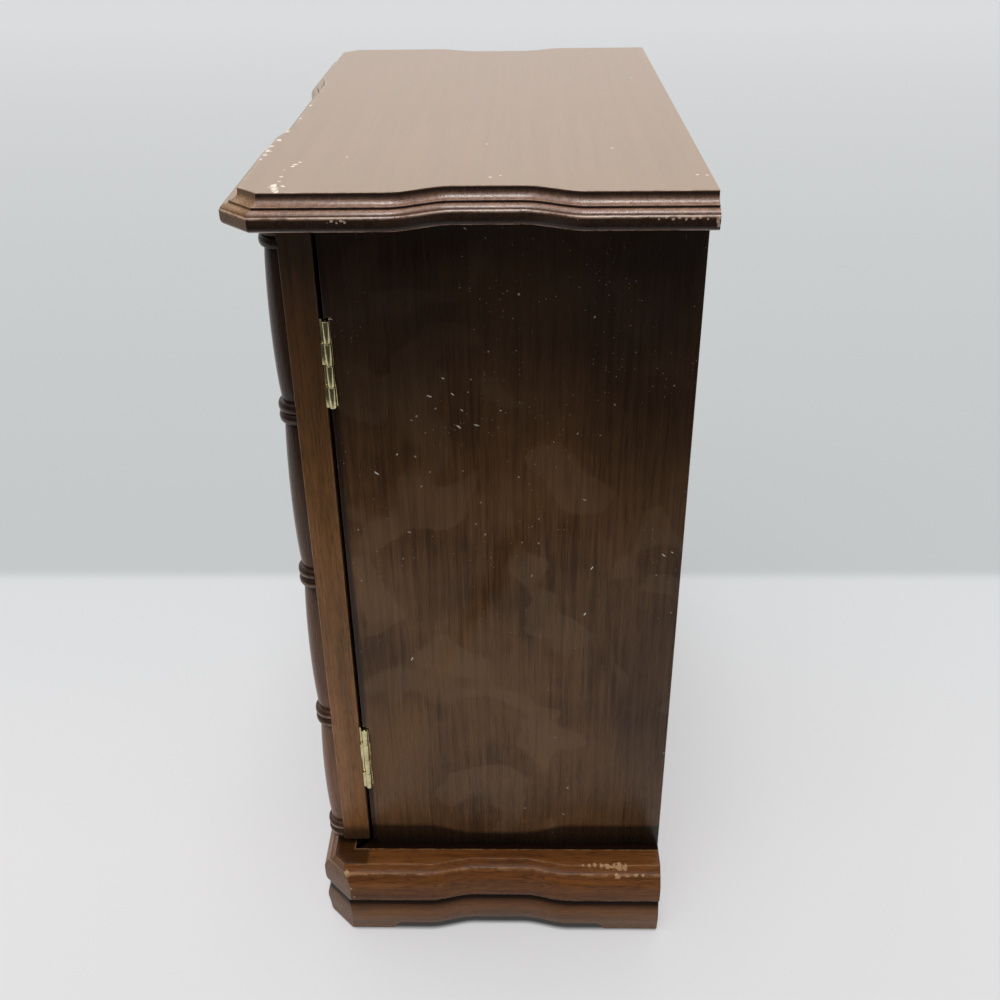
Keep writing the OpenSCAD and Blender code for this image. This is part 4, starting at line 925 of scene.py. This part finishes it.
def make_floor():
    """A pale sheet, a shade greyer behind the cabinet, with half of the cabinet's shadow and a painted shadow
    between its feet. Where the camera doesn't see it, on the camera's side, it reflects as dark."""
    put_down()
    bpy.ops.mesh.primitive_plane_add(size=FLOOR_SIZE, location=(0, 0, 0))
    floor = bpy.context.object
    floor.name = "floor"
    material, tree, place = new_material("paper_sheet")
    place = add(tree, "SeparateXYZ", {0: place})
    x = (place, "X")
    behind = add(tree, "MapRange", {"Value": x, "From Min": TONE_LINE * MM,
                                    "From Max": (TONE_LINE - TONE_BLUR) * MM},
                 interpolation_type="SMOOTHSTEP")
    far = add(tree, "MapRange", {"Value": x, "From Min": -300 * MM, "From Max": -3000 * MM})
    grey = add(tree, "Mix", {0: far, MIX_A: linear("#bec1c1"), MIX_B: linear("#d2d3d4")}, data_type="RGBA")
    front = add(tree, "MapRange", {"Value": x, "From Min": TONE_LINE * MM, "From Max": 100 * MM})
    pale = add(tree, "Mix", {0: front, MIX_A: linear("#d3d5d6"), MIX_B: linear("#dddcdd")},
               data_type="RGBA")
    seen = add(tree, "Mix", {0: behind, MIX_A: (pale, MIX_OUT), MIX_B: (grey, MIX_OUT)}, data_type="RGBA")

    # Painted shadow on the floor between the feet: its edge follows the recess in the base
    away = add(tree, "Math", {0: (place, "Y"), 1: SIDE_MID * MM}, operation="SUBTRACT")
    away = add(tree, "Math", {0: away}, operation="ABSOLUTE")
    edge = add(tree, "MapRange", {"Value": away, "From Min": (SIDE_DIP_HALF - DIP_RUN) * MM,
                                  "From Max": SIDE_DIP_HALF * MM, "To Min": (FOOT_FACE - BASE_DIP) * MM,
                                  "To Max": FOOT_FACE * MM}, interpolation_type="SMOOTHSTEP")
    sideways = add(tree, "Math", {0: x}, operation="ABSOLUTE")
    inside = add(tree, "Math", {0: sideways, 1: edge}, operation="SUBTRACT")
    inside = add(tree, "MapRange", {"Value": inside, "From Min": 1.6 * MM, "From Max": -1.0 * MM,
                                    "To Max": 0.9})
    ends = add(tree, "MapRange", {"Value": (place, "Y"), "From Min": BACK_Y * MM,
                                  "From Max": (BACK_Y - 1) * MM})
    front_end = add(tree, "MapRange", {"Value": (place, "Y"), "From Min": BASE_FRONT * MM,
                                       "From Max": (BASE_FRONT + 3) * MM})
    corner = add(tree, "Math", {0: sideways, 1: (place, "Y")}, operation="SUBTRACT")
    corner = add(tree, "MapRange", {"Value": corner, "From Min": (CANT_FOOT + 1) * MM,
                                    "From Max": (CANT_FOOT - 2) * MM})
    for end in (ends, front_end, corner):
        inside = add(tree, "Math", {0: inside, 1: end}, operation="MULTIPLY")
    seen = add(tree, "Mix", {0: inside, MIX_A: (seen, MIX_OUT), MIX_B: linear("#1c1915")}, data_type="RGBA")

    near = add(tree, "MapRange", {"Value": x, "From Min": 420 * MM, "From Max": 560 * MM},
               interpolation_type="SMOOTHSTEP")
    unseen = add(tree, "Mix", {0: near, MIX_A: linear("#d2d2d2"), MIX_B: linear("#383838")},
                 data_type="RGBA")
    ray = add(tree, "LightPath")
    colour = add(tree, "Mix", {0: (ray, "Is Camera Ray"), MIX_A: (unseen, MIX_OUT), MIX_B: (seen, MIX_OUT)},
                 data_type="RGBA")
    lit = add(tree, "BsdfDiffuse", {"Color": (colour, MIX_OUT)})
    even = add(tree, "Emission", {"Color": (seen, MIX_OUT), "Strength": 1.05})
    half = add(tree, "Math", {0: (ray, "Is Camera Ray"), 1: 0.5}, operation="MULTIPLY")
    close_material(tree, add(tree, "MixShader", {0: half, 1: lit, 2: even}))
    floor.data.materials.append(material)


def make_lamp(name, energy, spread, azimuth, elevation):
    """A far soft lamp: azimuth 0 shines from -Y and 90 from +X, like the views."""
    data = bpy.data.lights.new(name, "SUN")
    data.energy, data.angle = energy, math.radians(spread)
    lamp = linked(name, data)
    a, e = math.radians(azimuth), math.radians(elevation)
    lamp.rotation_euler = Vector((math.sin(a) * math.cos(e), -math.cos(a) * math.cos(e), math.sin(e))
                                 ).to_track_quat("Z", "Y").to_euler()


def make_world():
    """A white sweep behind and above. The photographer's side, +X, is dim, so what faces it stays deep."""
    world = bpy.data.worlds.new("studio")
    world.use_nodes = True
    bpy.context.scene.world = world
    tree = world.node_tree
    tree.nodes.clear()
    ray = add(tree, "LightPath")
    way = (add(tree, "TexCoord"), "Generated")
    dim = add(tree, "MapRange", {"Value": (add(tree, "SeparateXYZ", {0: way}), "X"), "From Min": -0.1,
                                 "From Max": 0.7}, interpolation_type="SMOOTHSTEP")
    lit = add(tree, "MapRange", {"Value": dim, "To Min": 0.36, "To Max": 0.08})
    shiny = add(tree, "MapRange", {"Value": dim, "To Min": 0.80, "To Max": 0.25})
    level = lit
    for kind, value in (("Is Glossy Ray", shiny), ("Is Transmission Ray", shiny), ("Is Camera Ray", 0.78)):
        level = add(tree, "Mix", {0: (ray, kind), 2: level, 3: value})
    light = add(tree, "Background", {"Color": linear("#f6f8fa"), "Strength": level})
    add(tree, "OutputWorld", {"Surface": light})


def make_camera():
    """The photograph's view: from the cabinet's right, above it, turned slightly to the back."""
    data = bpy.data.cameras.new("camera")
    camera = linked("camera", data)
    data.sensor_width = 36.0
    data.lens = 40.752
    data.clip_start, data.clip_end = 0.01, 100
    yaw, pitch, roll = -0.023, 0.536, -0.013
    forward = Vector((-math.cos(yaw) * math.cos(pitch), math.sin(yaw) * math.cos(pitch), -math.sin(pitch)))
    right = Vector((math.sin(yaw), math.cos(yaw), 0))
    up = right.cross(forward)
    across = math.cos(roll) * right + math.sin(roll) * up
    over = -math.sin(roll) * right + math.cos(roll) * up
    turn = Matrix((across, over, -forward)).transposed().to_4x4()
    eye = Vector((541.27, 19.79, 488.825)) * MM
    camera.matrix_world = Matrix.Translation(eye) @ turn
    bpy.context.scene.camera = camera


make_floor()
make_lamp("lamp_behind", 0.6, 70, 270, 45)
make_lamp("lamp_above", 1.42, 26, 90, 86)
make_lamp("lamp_front", 0.4, 60, 330, 35)
make_lamp("lamp_right", 0.84, 50, 62, 62)
make_world()
make_camera()
bpy.context.scene.view_settings.view_transform = "Standard"
